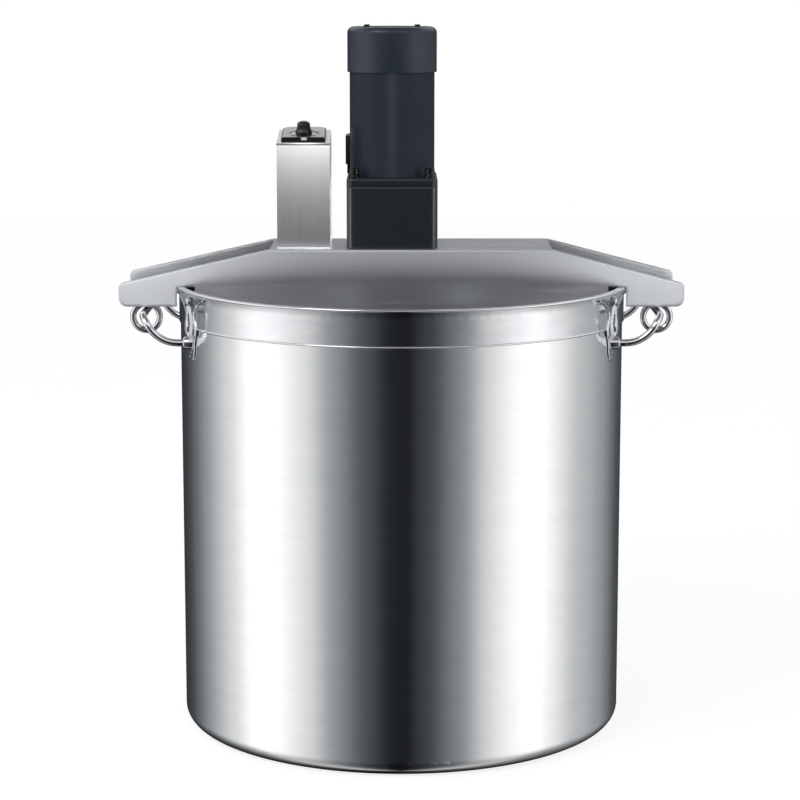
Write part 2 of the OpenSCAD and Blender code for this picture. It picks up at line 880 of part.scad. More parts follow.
module cooling_fan() {
    color([0.1, 0.1, 0.12])
        translate([motor_x, 0, fan_z])
            difference() {
                union() {
                    cylinder(r = 12, h = fan_h);
                    cylinder(r = fan_r, h = 2.5);
                    for (i = [0:8])
                        rotate(i * 40) translate([10, -1, 0]) cube([fan_r - 10.5, 2, fan_h - 3]);
                }
                translate([0, 0, -1]) cylinder(r = rotor_r, h = fan_h + 2);
            }
}

module first_layshaft() {
    color("silver")
        translate([lay_a[0], lay_a[1], 0]) {
            translate([0, 0, case_z + 2.2]) cylinder(r = lay_r, h = gear_h + 3.6);
            translate([0, 0, layer_2])
                linear_extrude(height = wide_2)
                    polygon(gear_points(gear_m2, teeth_3, 0.16, phase_3));
        }
}

module first_gear() {
    color("goldenrod")
        translate([lay_a[0], lay_a[1], layer_1]) gear(gear_m1, teeth_2, phase_2, wide_1, lay_r);
}

module second_layshaft() {
    color("silver")
        translate([lay_b[0], lay_b[1], 0]) {
            translate([0, 0, case_z + 2.2]) cylinder(r = lay_r, h = gear_h + 3.6);
            translate([0, 0, layer_3])
                linear_extrude(height = wide_3)
                    polygon(gear_points(gear_m3, teeth_5, 0.16, phase_5));
        }
}

module second_gear() {
    color("goldenrod")
        translate([lay_b[0], lay_b[1], layer_2]) gear(gear_m2, teeth_4, phase_4, wide_2, lay_r);
}

module output_gear() {
    color("goldenrod")
        translate([0, 0, layer_3]) gear(gear_m3, teeth_6, phase_6, wide_3, out_r);
}

module output_shaft() {
    color("silver")
        translate([0, 0, out_end]) cylinder(r = out_r, h = layer_3 + wide_3 + 1 - out_end);
}

module coupling() {
    color("silver")
        difference() {
            translate([0, 0, couple_z]) cylinder(d = couple_d, h = couple_h);
            translate([0, 0, shaft_top - 2]) cylinder(r = out_r, h = 100);
            translate([0, 0, couple_z - 1]) cylinder(r = shaft_r, h = shaft_top - couple_z + 1);
            coupling_holes(40, 40);
        }
}

module coupling_holes(d_lo, d_hi) {
    for (a = [0, 90]) {
        translate([0, 0, couple_z + 14])
            rotate([0, 90, a]) cylinder(d = 6, h = d_lo);
        translate([0, 0, couple_z + couple_h - 12])
            rotate([0, 90, a]) cylinder(d = 6, h = d_hi);
    }
}

module coupling_screws() {
    color("dimgray")
        for (a = [0, 90]) {
            translate([0, 0, couple_z + 14])
                rotate([0, 90, a])
                    translate([0, 0, shaft_r]) cylinder(d = 6, h = couple_d / 2 - shaft_r + 3);
            translate([0, 0, couple_z + couple_h - 12])
                rotate([0, 90, a])
                    translate([0, 0, out_r]) cylinder(d = 6, h = couple_d / 2 - out_r + 3);
        }
}

module stirrer_shaft() {
    color("silver")
        difference() {
            translate([0, 0, shaft_z]) cylinder(r = shaft_r, h = shaft_top - shaft_z);
            pin_places() rotate([90, 0, 0]) cylinder(d = pin_d, h = 60, center = true);
        }
}

module pin_places() {
    for (z = [shaft_z + 20, collar_z + 6])
        translate([0, 0, z]) children();
    translate([0, 0, paddle_z]) rotate(90) children();
}

module stirrer_hub() {
    color("silver")
        difference() {
            translate([0, 0, frame_z]) cylinder(d = hub_d, h = hub_h);
            translate([0, 0, shaft_z]) cylinder(r = shaft_r, h = pot_h);
            translate([-hub_d, -frame_t / 2, frame_z - 1]) cube([hub_d * 2, frame_t, bar_h + 1]);
            frame_bolt_places() rotate([90, 0, 0]) cylinder(d = 6, h = 80, center = true);
            pin_places() rotate([90, 0, 0]) cylinder(d = pin_d, h = 60, center = true);
        }
}

module tie_collar() {
    color("silver")
        difference() {
            translate([0, 0, collar_z]) cylinder(d = hub_d, h = 34);
            translate([0, 0, shaft_z]) cylinder(r = shaft_r, h = pot_h);
            for (s = [-1, 1])
                translate([s > 0 ? shaft_r + 3 : -shaft_r - 33, -frame_t / 2, collar_z + 14])
                    cube([30, frame_t, 30]);
            frame_bolt_places() rotate([90, 0, 0]) cylinder(d = 6, h = 80, center = true);
            pin_places() rotate([90, 0, 0]) cylinder(d = pin_d, h = 60, center = true);
        }
}

module frame_bolt_places() {
    for (s = [-1, 1])
        for (z = [frame_z + bar_h / 2, collar_z + 24])
            translate([s * (shaft_r + hub_d / 2 + 2) / 2, 0, z]) children();
}

// Anchor frame: a flat bar along the floor, an arm up each side and a tie arm back to the collar.
module stirrer_frame() {
    t = frame_t;
    color("silver")
        difference() {
            union() {
                translate([-frame_r, -t / 2, frame_z]) cube([2 * frame_r, t, bar_h]);
                for (s = [-1, 1]) {
                    translate([s > 0 ? frame_r - 24 : -frame_r, -t / 2, frame_z])
                        cube([24, t, collar_z + 34 - frame_z]);
                    translate([s > 0 ? shaft_r + 3 : -frame_r, -t / 2, collar_z + 14])
                        cube([frame_r - shaft_r - 3, t, 20]);
                }
            }
            frame_bolt_places() rotate([90, 0, 0]) cylinder(d = 6, h = 80, center = true);
            scraper_screw_places() rotate([90, 0, 0]) cylinder(d = 5, h = 40, center = true);
        }
}

module frame_bolts() {
    color("dimgray")
        frame_bolt_places()
            rotate([90, 0, 0]) cylinder(d = 6, h = 40, center = true);
}

module stirrer_pins() {
    color("dimgray")
        pin_places()
            rotate([90, 0, 0]) cylinder(d = pin_d, h = hub_d + 2, center = true);
}

module scraper_screw_places() {
    for (s = [-1, 1]) {
        for (x = [50, 130, 200])
            translate([s * x * frame_r / 234.5, 0, frame_z + bar_h / 2]) children();
        for (z = [90, 180, 270])
            translate([s * (frame_r - 10), 0, pot_floor + z * arm_h / 300]) children();
    }
}

// Soft blade on the rear face of the floor bar, cut back at the ends for the corner of the pot.
module bottom_scrapers() {
    t = frame_t;
    z0 = pot_floor + scrape_gap;
    color("white")
        difference() {
            translate([0, t / 2 + 8, 0])
                rotate([90, 0, 0])
                    linear_extrude(height = 8)
                        polygon([
                            [-frame_r - 2, z0 + 20], [-frame_r + 16, z0], [frame_r - 16, z0],
                            [frame_r + 2, z0 + 20], [frame_r + 2, frame_z + bar_h], [-frame_r - 2, frame_z + bar_h]
                        ]);
            cylinder(d = hub_d + 2, h = 100);
            scraper_screw_places() rotate([90, 0, 0]) cylinder(d = 5, h = 60, center = true);
        }
}

module side_scrapers() {
    t = frame_t;
    color("white")
        difference() {
            for (s = [-1, 1])
                translate([s > 0 ? frame_r - 20 : -sqrt(pow(blade_r, 2) - 144), t / 2, frame_z + bar_h + 2])
                    cube([sqrt(pow(blade_r, 2) - 144) - frame_r + 20, 8, collar_z + 20 - frame_z - bar_h]);
            scraper_screw_places() rotate([90, 0, 0]) cylinder(d = 5, h = 60, center = true);
        }
}

module scraper_screws() {
    color("silver")
        scraper_screw_places() {
            rotate([90, 0, 0]) translate([0, 0, -frame_t / 2 - 8]) cylinder(d = 5, h = frame_t + 8);
            translate([0, -frame_t / 2, 0]) rotate([90, 0, 0]) cylinder(d = 9, h = 3);
            translate([0, frame_t / 2 + 11, 0]) rotate([90, 0, 0]) cylinder(d = 9, h = 3);
        }
}

// Two slanted paddles on a collar, turned a quarter from the frame.
module mixing_paddles() {
    color("silver")
        difference() {
            union() {
                translate([0, 0, paddle_z - 18]) cylinder(d = hub_d, h = 36);
                for (a = [90, 270])
                    rotate(a)
                        translate([shaft_r + 6, 0, paddle_z])
                            rotate([45, 0, 0])
                                translate([0, -28, -2.5]) cube([frame_r - 60, 56, 5]);
            }
            translate([0, 0, paddle_z - 60]) cylinder(r = shaft_r, h = 120);
            pin_places() rotate([90, 0, 0]) cylinder(d = pin_d, h = hub_d + 6, center = true);
        }
}

pot_shell();
rim_band();
left_handle();
right_handle();
bracket(-1, true);  // left_front_bracket
bracket(-1, false);  // left_rear_bracket
bracket(1, true);  // right_front_bracket
bracket(1, false);  // right_rear_bracket
bracket_rivets();
loose_ring(-1);  // left_ring
loose_ring(1);  // right_ring
bridge();
left_end_plate();
right_end_plate();
gearbox_case();
gearbox_plate();
gearbox_bolts();
bolt_nuts();
output_bearings();
motor_housing();
end_shield();
motor_bearings();
stator();
windings();
fan_cover();
cover_screws();
terminal_box();
control_box();
control_box_back();
back_screws();
control_faceplate();
dial_plate();
potentiometer();
speed_board();
cable_gland();
knob();
potentiometer_shaft();
rotor_shaft();
rotor_core();
cooling_fan();
first_layshaft();
first_gear();
second_layshaft();
second_gear();
output_shaft();
output_gear();
coupling();
coupling_screws();
stirrer_shaft();
stirrer_hub();
tie_collar();
stirrer_frame();
frame_bolts();
stirrer_pins();
bottom_scrapers();
side_scrapers();
scraper_screws();
mixing_paddles();
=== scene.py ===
import math
import json

import bmesh
import bpy
from mathutils import Matrix, Vector


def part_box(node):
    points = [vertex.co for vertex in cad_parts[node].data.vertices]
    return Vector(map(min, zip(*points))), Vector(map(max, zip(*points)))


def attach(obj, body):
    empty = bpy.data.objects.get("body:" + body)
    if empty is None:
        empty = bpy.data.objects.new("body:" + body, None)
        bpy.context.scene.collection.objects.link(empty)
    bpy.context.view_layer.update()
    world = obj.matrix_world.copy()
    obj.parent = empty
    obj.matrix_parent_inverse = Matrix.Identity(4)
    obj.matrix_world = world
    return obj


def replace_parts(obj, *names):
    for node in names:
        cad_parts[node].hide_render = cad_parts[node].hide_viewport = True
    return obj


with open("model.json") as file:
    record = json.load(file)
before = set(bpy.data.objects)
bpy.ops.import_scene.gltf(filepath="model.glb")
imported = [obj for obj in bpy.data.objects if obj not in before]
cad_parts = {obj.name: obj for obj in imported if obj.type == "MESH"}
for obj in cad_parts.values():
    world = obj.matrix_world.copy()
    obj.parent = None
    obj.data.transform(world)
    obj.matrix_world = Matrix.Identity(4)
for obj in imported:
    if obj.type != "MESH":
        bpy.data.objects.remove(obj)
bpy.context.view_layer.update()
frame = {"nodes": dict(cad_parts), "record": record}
nodes = frame["nodes"]
print("frame loaded,", len(nodes), "nodes")


# the camera, fitted to the object's own edges; tilt is in degrees from straight down
shot = {"focal": 109.70, "sensor": 36, "reach": 60, "place": (-0.00166, -2.7483, 0.8392), "tilt": 80.26}

cameraData = bpy.data.cameras.new("studio camera")
cameraData.lens = shot["focal"]
cameraData.sensor_width = shot["sensor"]
cameraData.clip_end = shot["reach"]
camera = bpy.data.objects.new("studio camera", cameraData)
camera.location = shot["place"]
camera.rotation_euler = (math.radians(shot["tilt"]), 0, 0)
bpy.context.scene.collection.objects.link(camera)
bpy.context.scene.camera = camera
bpy.context.scene.view_settings.view_transform = "Standard"


def addNode(tree, kind, **values):
    node = tree.nodes.new(kind)
    for key, value in values.items():
        setattr(node, key, value)
    return node


def mathNode(tree, operation, first, second, clamp=False):
    node = addNode(tree, "ShaderNodeMath", operation=operation, use_clamp=clamp)
    for slot, value in enumerate((first, second)):
        if isinstance(value, (int, float)):
            node.inputs[slot].default_value = value
        else:
            tree.links.new(value, node.inputs[slot])
    return node.outputs[0]


def mapRange(tree, value, low, high, toLow=0.0, toHigh=1.0):
    node = addNode(tree, "ShaderNodeMapRange", interpolation_type="SMOOTHSTEP")
    tree.links.new(value, node.inputs["Value"])
    for label, number in (("From Min", low), ("From Max", high), ("To Min", toLow), ("To Max", toHigh)):
        node.inputs[label].default_value = number
    return node.outputs["Result"]


# a light tent: softboxes left and right of the camera, a dark gap behind it and a dark end behind the object
studio = {
    "floorSize": 6.0, "floorDrop": 0.0004,
    "floorWhite": 0.93,          # what the floor throws back on the object
    "glow": 0.762,               # the floor's own white, for the camera only
    "paper": 0.36,               # how much of its shading and shadow shows on top
    "wallPeak": 1.3,             # scale of the walls' table
    "redLoss": 0.10,             # taken from the dark walls
    "blueGain": 0.0055,          # added to all walls
    "sky": 1.08,                 # the bright ring above the horizon
    "skyHeight": (0.14, 0.44),   # where the walls pass into it, as the sine of the height
    "roof": 0.22,                # the dark lid over the object
    "roofHeight": (0.60, 0.84),
    "ground": 0.42,              # how much of the walls' light is left straight below
    "groundHeight": (-0.80, -0.28),
    # degrees from the camera, positive to the right, and how bright the tent's wall is there
    "wall": [(-178, 0.02), (-170, 0.03), (-144, 0.086), (-128, 0.239), (-116, 0.43), (-105, 0.666),
             (-95, 0.873), (-86, 1.183), (-74, 1.259), (-62, 1.078), (-54, 0.889), (-47, 0.726), (-40, 0.452),
             (-26, 0.185), (-12, 0.052), (0, 0.016), (8, 0.038), (21, 0.132), (35, 0.37), (42, 0.645),
             (49, 0.835), (56, 1.022), (64, 1.169), (72, 1.277), (80, 1.127), (98, 0.678), (119, 0.436),
             (132, 0.295), (149, 0.111), (175, 0.05)],
}


def buildWorld():
    world = bpy.data.worlds.new("light tent")
    bpy.context.scene.world = world
    world.use_nodes = True
    tree = world.node_tree
    tree.nodes.clear()
    coords = addNode(tree, "ShaderNodeTexCoord")
    split = addNode(tree, "ShaderNodeSeparateXYZ")
    tree.links.new(coords.outputs["Generated"], split.inputs[0])
    x, y, z = split.outputs
    away = mathNode(tree, "MULTIPLY", y, -1.0)
    angle = mathNode(tree, "ARCTAN2", x, away)
    turn = mathNode(tree, "ADD", mathNode(tree, "DIVIDE", angle, 2 * math.pi), 0.5)
    ramp = addNode(tree, "ShaderNodeValToRGB")
    ramp.color_ramp.interpolation = "CARDINAL"
    stops = ramp.color_ramp.elements
    wall = studio["wall"]
    while len(stops) < len(wall):
        stops.new(0.5)
    peak = studio["wallPeak"]
    for stop, (degrees, level) in zip(stops, wall):
        stop.position = degrees / 360 + 0.5
        share = level / peak                             # a ramp holds no more than 1
        red = share * (1 - studio["redLoss"] * (1 - min(level, 1)) ** 2)
        stop.color = (red, share, min(share + studio["blueGain"] / peak, 1), 1)
    tree.links.new(turn, ramp.inputs[0])
    walls = addNode(tree, "ShaderNodeVectorMath", operation="SCALE")
    tree.links.new(ramp.outputs[0], walls.inputs[0])
    walls.inputs["Scale"].default_value = peak
    ring = mapRange(tree, z, *studio["roofHeight"], studio["sky"], studio["roof"])
    top = addNode(tree, "ShaderNodeMix", data_type="RGBA")
    tree.links.new(mapRange(tree, z, *studio["skyHeight"]), top.inputs["Factor"])
    tree.links.new(walls.outputs[0], top.inputs["A"])
    tree.links.new(ring, top.inputs["B"])
    fade = addNode(tree, "ShaderNodeVectorMath", operation="SCALE")
    tree.links.new(top.outputs["Result"], fade.inputs[0])
    tree.links.new(mapRange(tree, z, *studio["groundHeight"], studio["ground"], 1.0), fade.inputs["Scale"])
    tent = addNode(tree, "ShaderNodeBackground")
    tree.links.new(fade.outputs[0], tent.inputs["Color"])
    white = addNode(tree, "ShaderNodeBackground")
    white.inputs["Color"].default_value = (1, 1, 1, 1)
    path = addNode(tree, "ShaderNodeLightPath")
    seen = mathNode(tree, "MAXIMUM", path.outputs["Is Camera Ray"], path.outputs["Is Transmission Ray"])
    both = addNode(tree, "ShaderNodeMixShader")
    tree.links.new(seen, both.inputs["Fac"])
    tree.links.new(tent.outputs[0], both.inputs[1])
    tree.links.new(white.outputs[0], both.inputs[2])
    out = addNode(tree, "ShaderNodeOutputWorld")
    tree.links.new(both.outputs[0], out.inputs["Surface"])


def buildFloor():
    shape = bmesh.new()
    bmesh.ops.create_grid(shape, x_segments=2, y_segments=2, size=studio["floorSize"])
    mesh = bpy.data.meshes.new("studio floor")
    shape.to_mesh(mesh)
    shape.free()
    floor = bpy.data.objects.new("studio floor", mesh)
    floor.location.z = -studio["floorDrop"]
    bpy.context.scene.collection.objects.link(floor)
    material = bpy.data.materials.new("studio floor")
    material.use_nodes = True
    tree = material.node_tree
    tree.nodes.clear()
    path = addNode(tree, "ShaderNodeLightPath")
    paper = addNode(tree, "ShaderNodeBsdfDiffuse")       # lights the object
    paper.inputs["Color"].default_value = (studio["floorWhite"],) * 3 + (1,)
    sheet = addNode(tree, "ShaderNodeBsdfDiffuse")       # what the camera sees of the shadow
    sheet.inputs["Color"].default_value = (studio["paper"],) * 3 + (1,)
    white = addNode(tree, "ShaderNodeEmission")
    white.inputs["Strength"].default_value = studio["glow"]
    lit = addNode(tree, "ShaderNodeAddShader")
    tree.links.new(sheet.outputs[0], lit.inputs[0])
    tree.links.new(white.outputs[0], lit.inputs[1])
    clear = addNode(tree, "ShaderNodeBsdfTransparent")
    seen = addNode(tree, "ShaderNodeMixShader")
    tree.links.new(path.outputs["Is Camera Ray"], seen.inputs["Fac"])
    tree.links.new(paper.outputs[0], seen.inputs[1])
    tree.links.new(lit.outputs[0], seen.inputs[2])
    gloss = addNode(tree, "ShaderNodeMixShader")         # polished steel sees the tent, not the paper
    tree.links.new(path.outputs["Is Glossy Ray"], gloss.inputs["Fac"])
    tree.links.new(seen.outputs[0], gloss.inputs[1])
    tree.links.new(clear.outputs[0], gloss.inputs[2])
    out = addNode(tree, "ShaderNodeOutputMaterial")
    tree.links.new(gloss.outputs[0], out.inputs["Surface"])
    mesh.materials.append(material)


def addLamp(name, look):
    lamp = bpy.data.lights.new(name, "AREA")
    lamp.shape = "RECTANGLE"
    lamp.size, lamp.size_y = look["size"]
    lamp.energy = look["power"]
    thing = bpy.data.objects.new(name, lamp)
    thing.location = look["place"]
    thing.rotation_euler = (Vector(look["aim"]) - Vector(look["place"])).to_track_quat("-Z", "Y").to_euler()
    thing.visible_camera = False
    bpy.context.scene.collection.objects.link(thing)
    if look.get("only"):                                 # lights these nodes alone
        lit = bpy.data.collections.new(name + " receivers")
        for member in look["only"]:
            lit.objects.link(nodes[member])
        thing.light_linking.receiver_collection = lit
        thing.light_linking.blocker_collection = lit


lamps = {
    "key lamp": {"place": (-1.6, -1.9, 2.6), "aim": (0, 0, 0.45), "size": (1.4, 1.4), "power": 22},
    "web lamp": {"place": (0, -1.6, 0.30), "aim": (0, 0, 0.52), "size": (1.2, 0.3), "power": 1.0,
                 "only": ["bridge"]},
    "column lamp": {"place": (-0.109, -0.50, 0.71), "aim": (-0.109, -0.036, 0.64), "size": (0.14, 0.12),
                    "power": 0.35, "only": ["control_box"]},
    "column side lamp": {"place": (0.40, 0.90, 0.62), "aim": (-0.08, 0, 0.60), "size": (0.3, 0.5), "power": 2.5,
                         "only": ["control_box"]},
    "motor lamp": {"place": (-0.012, -1.3, 0.80), "aim": (-0.012, 0, 0.68), "size": (0.10, 0.5), "power": 4.0,
                   "only": ["motor_housing"]},
    "left corner lamp": {"place": (-0.92, -0.62, 0.60), "aim": (-0.01, 0, 0.59), "size": (0.12, 0.5), "power": 2.2,
                         "only": ["gearbox_case", "gearbox_plate"]},
    "right corner lamp": {"place": (0.90, -0.62, 0.60), "aim": (-0.01, 0, 0.59), "size": (0.12, 0.5), "power": 1.6,
                          "only": ["gearbox_case", "gearbox_plate"]},
}
for end, sign in (("left", -1), ("right", 1)):           # one low and one high at each end of the bridge
    for kind, height, power in (("wing", 0.43, 0.045), ("end", 0.56, 0.4)):
        look = {"place": (sign * 0.47, -0.78, height), "aim": (sign * 0.28, -0.06, 0.50), "size": (0.3, 0.06),
                "power": power, "only": ["bridge"]}
        lamps[end + " " + kind + " lamp"] = look

buildWorld()
buildFloor()
for lampName, lampLook in lamps.items():
    addLamp(lampName, lampLook)
print("camera, floor and light are set")


def newGroup(name, inputs, outputs):
    group = bpy.data.node_groups.new(name, "ShaderNodeTree")
    for label, kind, value in inputs:
        socket = group.interface.new_socket(name=label, in_out="INPUT", socket_type="NodeSocket" + kind)
        if value is not None:
            socket.default_value = value
    for label, kind in outputs:
        group.interface.new_socket(name=label, in_out="OUTPUT", socket_type="NodeSocket" + kind)
    return group, addNode(group, "NodeGroupInput"), addNode(group, "NodeGroupOutput")


# fine lines left by rolling, brushing or polishing; Stretch is small along the lines
lines = {"density": 900, "fineDetail": 3, "wideDetail": 2, "wideScale": 0.13, "fineShare": 0.4,
         "tone": (0.35, 0.65)}


def buildGrain():
    group, start, end = newGroup("fine lines", [("Vector", "Vector", None), ("Stretch", "Vector", (1, 1, 1)),
                                                ("Density", "Float", lines["density"])],
                                 [("Height", "Float"), ("Tone", "Float")])
    scaled = addNode(group, "ShaderNodeVectorMath", operation="MULTIPLY")
    group.links.new(start.outputs["Vector"], scaled.inputs[0])
    group.links.new(start.outputs["Stretch"], scaled.inputs[1])
    fine = addNode(group, "ShaderNodeTexNoise")
    fine.inputs["Detail"].default_value = lines["fineDetail"]
    group.links.new(scaled.outputs[0], fine.inputs["Vector"])
    group.links.new(start.outputs["Density"], fine.inputs["Scale"])
    wide = addNode(group, "ShaderNodeTexNoise")
    wide.inputs["Detail"].default_value = lines["wideDetail"]
    group.links.new(scaled.outputs[0], wide.inputs["Vector"])
    wideScale = mathNode(group, "MULTIPLY", start.outputs["Density"], lines["wideScale"])
    group.links.new(wideScale, wide.inputs["Scale"])
    group.links.new(fine.outputs["Fac"], end.inputs["Height"])
    tone = mathNode(group, "ADD", mathNode(group, "MULTIPLY", fine.outputs["Fac"], lines["fineShare"]),
                    mathNode(group, "MULTIPLY", wide.outputs["Fac"], 1 - lines["fineShare"]))
    group.links.new(mapRange(group, tone, *lines["tone"]), end.inputs["Tone"])
    return group


# cloudy marks from wiping and handling
clouds = {"scale": 9, "detail": 5, "roughness": 0.62, "distortion": 0.4, "mask": (0.38, 0.72)}


def buildHandling():
    group, start, end = newGroup("handling marks", [("Vector", "Vector", None),
                                                    ("Scale", "Float", clouds["scale"])], [("Mask", "Float")])
    cloud = addNode(group, "ShaderNodeTexNoise")
    cloud.inputs["Detail"].default_value = clouds["detail"]
    cloud.inputs["Roughness"].default_value = clouds["roughness"]
    cloud.inputs["Distortion"].default_value = clouds["distortion"]
    group.links.new(start.outputs["Vector"], cloud.inputs["Vector"])
    group.links.new(start.outputs["Scale"], cloud.inputs["Scale"])
    group.links.new(mapRange(group, cloud.outputs["Fac"], *clouds["mask"]), end.inputs["Mask"])
    return group


# the small pimples of powder coat or moulded plastic
pimples = {"scale": 700, "softScale": 0.35, "detail": 4}


def buildPaintSkin():
    group, start, end = newGroup("coat texture", [("Vector", "Vector", None),
                                                  ("Scale", "Float", pimples["scale"])],
                                 [("Height", "Float"), ("Mask", "Float")])
    cells = addNode(group, "ShaderNodeTexVoronoi")
    group.links.new(start.outputs["Vector"], cells.inputs["Vector"])
    group.links.new(start.outputs["Scale"], cells.inputs["Scale"])
    soft = addNode(group, "ShaderNodeTexNoise")
    soft.inputs["Detail"].default_value = pimples["detail"]
    group.links.new(start.outputs["Vector"], soft.inputs["Vector"])
    softScale = mathNode(group, "MULTIPLY", start.outputs["Scale"], pimples["softScale"])
    group.links.new(softScale, soft.inputs["Scale"])
    group.links.new(mathNode(group, "ADD", cells.outputs["Distance"], soft.outputs["Fac"]), end.inputs["Height"])
    group.links.new(soft.outputs["Fac"], end.inputs["Mask"])
    return group


# bright where a corner has been rubbed
rub = {"radius": 0.001, "breakup": 180, "corner": (0.985, 0.86), "detail": 4, "spots": (0.42, 0.6)}


def buildEdgeWear():
    group, start, end = newGroup("edge wear", [("Vector", "Vector", None), ("Radius", "Float", rub["radius"]),
                                               ("Breakup", "Float", rub["breakup"])], [("Mask", "Float")])
    rounded = addNode(group, "ShaderNodeBevel")
    group.links.new(start.outputs["Radius"], rounded.inputs["Radius"])
    flat = addNode(group, "ShaderNodeNewGeometry")
    dot = addNode(group, "ShaderNodeVectorMath", operation="DOT_PRODUCT")
    group.links.new(rounded.outputs[0], dot.inputs[0])
    group.links.new(flat.outputs["Normal"], dot.inputs[1])
    corner = mapRange(group, dot.outputs["Value"], *rub["corner"])
    spots = addNode(group, "ShaderNodeTexNoise")
    spots.inputs["Detail"].default_value = rub["detail"]
    group.links.new(start.outputs["Vector"], spots.inputs["Vector"])
    group.links.new(start.outputs["Breakup"], spots.inputs["Scale"])
    broken = mapRange(group, spots.outputs["Fac"], *rub["spots"])
    group.links.new(mathNode(group, "MULTIPLY", corner, broken, True), end.inputs["Mask"])
    return group


# what a finish has when its own row further down doesn't say; the shares are the part of the roughness's
# spread that comes from the fine texture, and the handling marks give the rest
usual = {"steelEdge": 0.0004, "coatEdge": 0.0005, "shine": 0.5, "ior": 1.5, "bumpDepth": 0.0002,
         "grainShare": 0.6, "skinShare": 0.5}


# the small rounding that every pressed, cast or cut edge has
def buildSoftEdge():
    group, start, end = newGroup("soft edge", [("Radius", "Float", usual["coatEdge"])], [("Normal", "Vector")])
    rounded = addNode(group, "ShaderNodeBevel")
    group.links.new(start.outputs["Radius"], rounded.inputs["Radius"])
    group.links.new(rounded.outputs[0], end.inputs["Normal"])
    return group


grainGroup = buildGrain()
handlingGroup = buildHandling()
skinGroup = buildPaintSkin()
wearGroup = buildEdgeWear()
edgeGroup = buildSoftEdge()


def placeGroup(tree, group, vector, **values):
    node = addNode(tree, "ShaderNodeGroup")
    node.node_tree = group
    tree.links.new(vector, node.inputs["Vector"])
    for key, value in values.items():
        node.inputs[key].default_value = value
    return node


def blendColours(tree, factor, first, second):
    node = addNode(tree, "ShaderNodeMix", data_type="RGBA")
    tree.links.new(factor, node.inputs["Factor"])
    for label, value in (("A", first), ("B", second)):
        if isinstance(value, tuple):
            node.inputs[label].default_value = value + (1,)
        else:
            tree.links.new(value, node.inputs[label])
    return node.outputs["Result"]


def addRoughness(tree, shader, texture, marks, rough, share):
    low, high = rough
    spread = mathNode(tree, "ADD", mathNode(tree, "MULTIPLY", texture, (high - low) * share),
                      mathNode(tree, "MULTIPLY", marks, (high - low) * (1 - share)))
    tree.links.new(mathNode(tree, "ADD", spread, low), shader.inputs["Roughness"])


def addBump(tree, shader, height, strength, edge):
    rounding = addNode(tree, "ShaderNodeGroup")
    rounding.node_tree = edgeGroup
    rounding.inputs["Radius"].default_value = edge
    bump = addNode(tree, "ShaderNodeBump")
    bump.inputs["Strength"].default_value = strength
    bump.inputs["Distance"].default_value = usual["bumpDepth"]
    tree.links.new(height, bump.inputs["Height"])
    tree.links.new(rounding.outputs["Normal"], bump.inputs["Normal"])
    tree.links.new(bump.outputs[0], shader.inputs["Normal"])


def startMaterial(name):
    material = bpy.data.materials.new(name)
    material.use_nodes = True
    tree = material.node_tree
    shader = tree.nodes["Principled BSDF"]
    coords = addNode(tree, "ShaderNodeTexCoord")
    return material, tree, shader, coords.outputs["Object"]


def makeSteel(name, look):
    material, tree, shader, where = startMaterial(name)
    shader.inputs["Metallic"].default_value = 1.0
    grain = placeGroup(tree, grainGroup, where, Stretch=look["stretch"], Density=look["density"])
    marks = placeGroup(tree, handlingGroup, where, Scale=look["marks"])
    colour = blendColours(tree, grain.outputs["Tone"], look["dark"], look["light"])
    stain = mathNode(tree, "MULTIPLY", marks.outputs["Mask"], look["stain"])
    colour = blendColours(tree, stain, colour, look["dark"])
    tree.links.new(colour, shader.inputs["Base Color"])
    addRoughness(tree, shader, grain.outputs["Tone"], marks.outputs["Mask"], look["rough"], usual["grainShare"])
    addBump(tree, shader, grain.outputs["Height"], look["bump"], look.get("edge", usual["steelEdge"]))
    return material


def makeCoated(name, look):
    material, tree, shader, where = startMaterial(name)
    shader.inputs["Metallic"].default_value = 0.0
    shader.inputs["IOR"].default_value = usual["ior"]
    shader.inputs["Specular IOR Level"].default_value = look.get("shine", usual["shine"])
    skin = placeGroup(tree, skinGroup, where, Scale=look["texture"])
    marks = placeGroup(tree, handlingGroup, where, Scale=look["marks"])
    colour = blendColours(tree, marks.outputs["Mask"], look["colour"], look["faded"])
    if look.get("worn"):
        wear = placeGroup(tree, wearGroup, where, Radius=look["wornWidth"], Breakup=rub["breakup"])
        share = mathNode(tree, "MULTIPLY", wear.outputs["Mask"], look["wornShare"])
        colour = blendColours(tree, share, colour, look["worn"])
    tree.links.new(colour, shader.inputs["Base Color"])
    addRoughness(tree, shader, skin.outputs["Mask"], marks.outputs["Mask"], look["rough"], usual["skinShare"])
    addBump(tree, shader, skin.outputs["Height"], look["bump"], look.get("edge", usual["coatEdge"]))
    return material


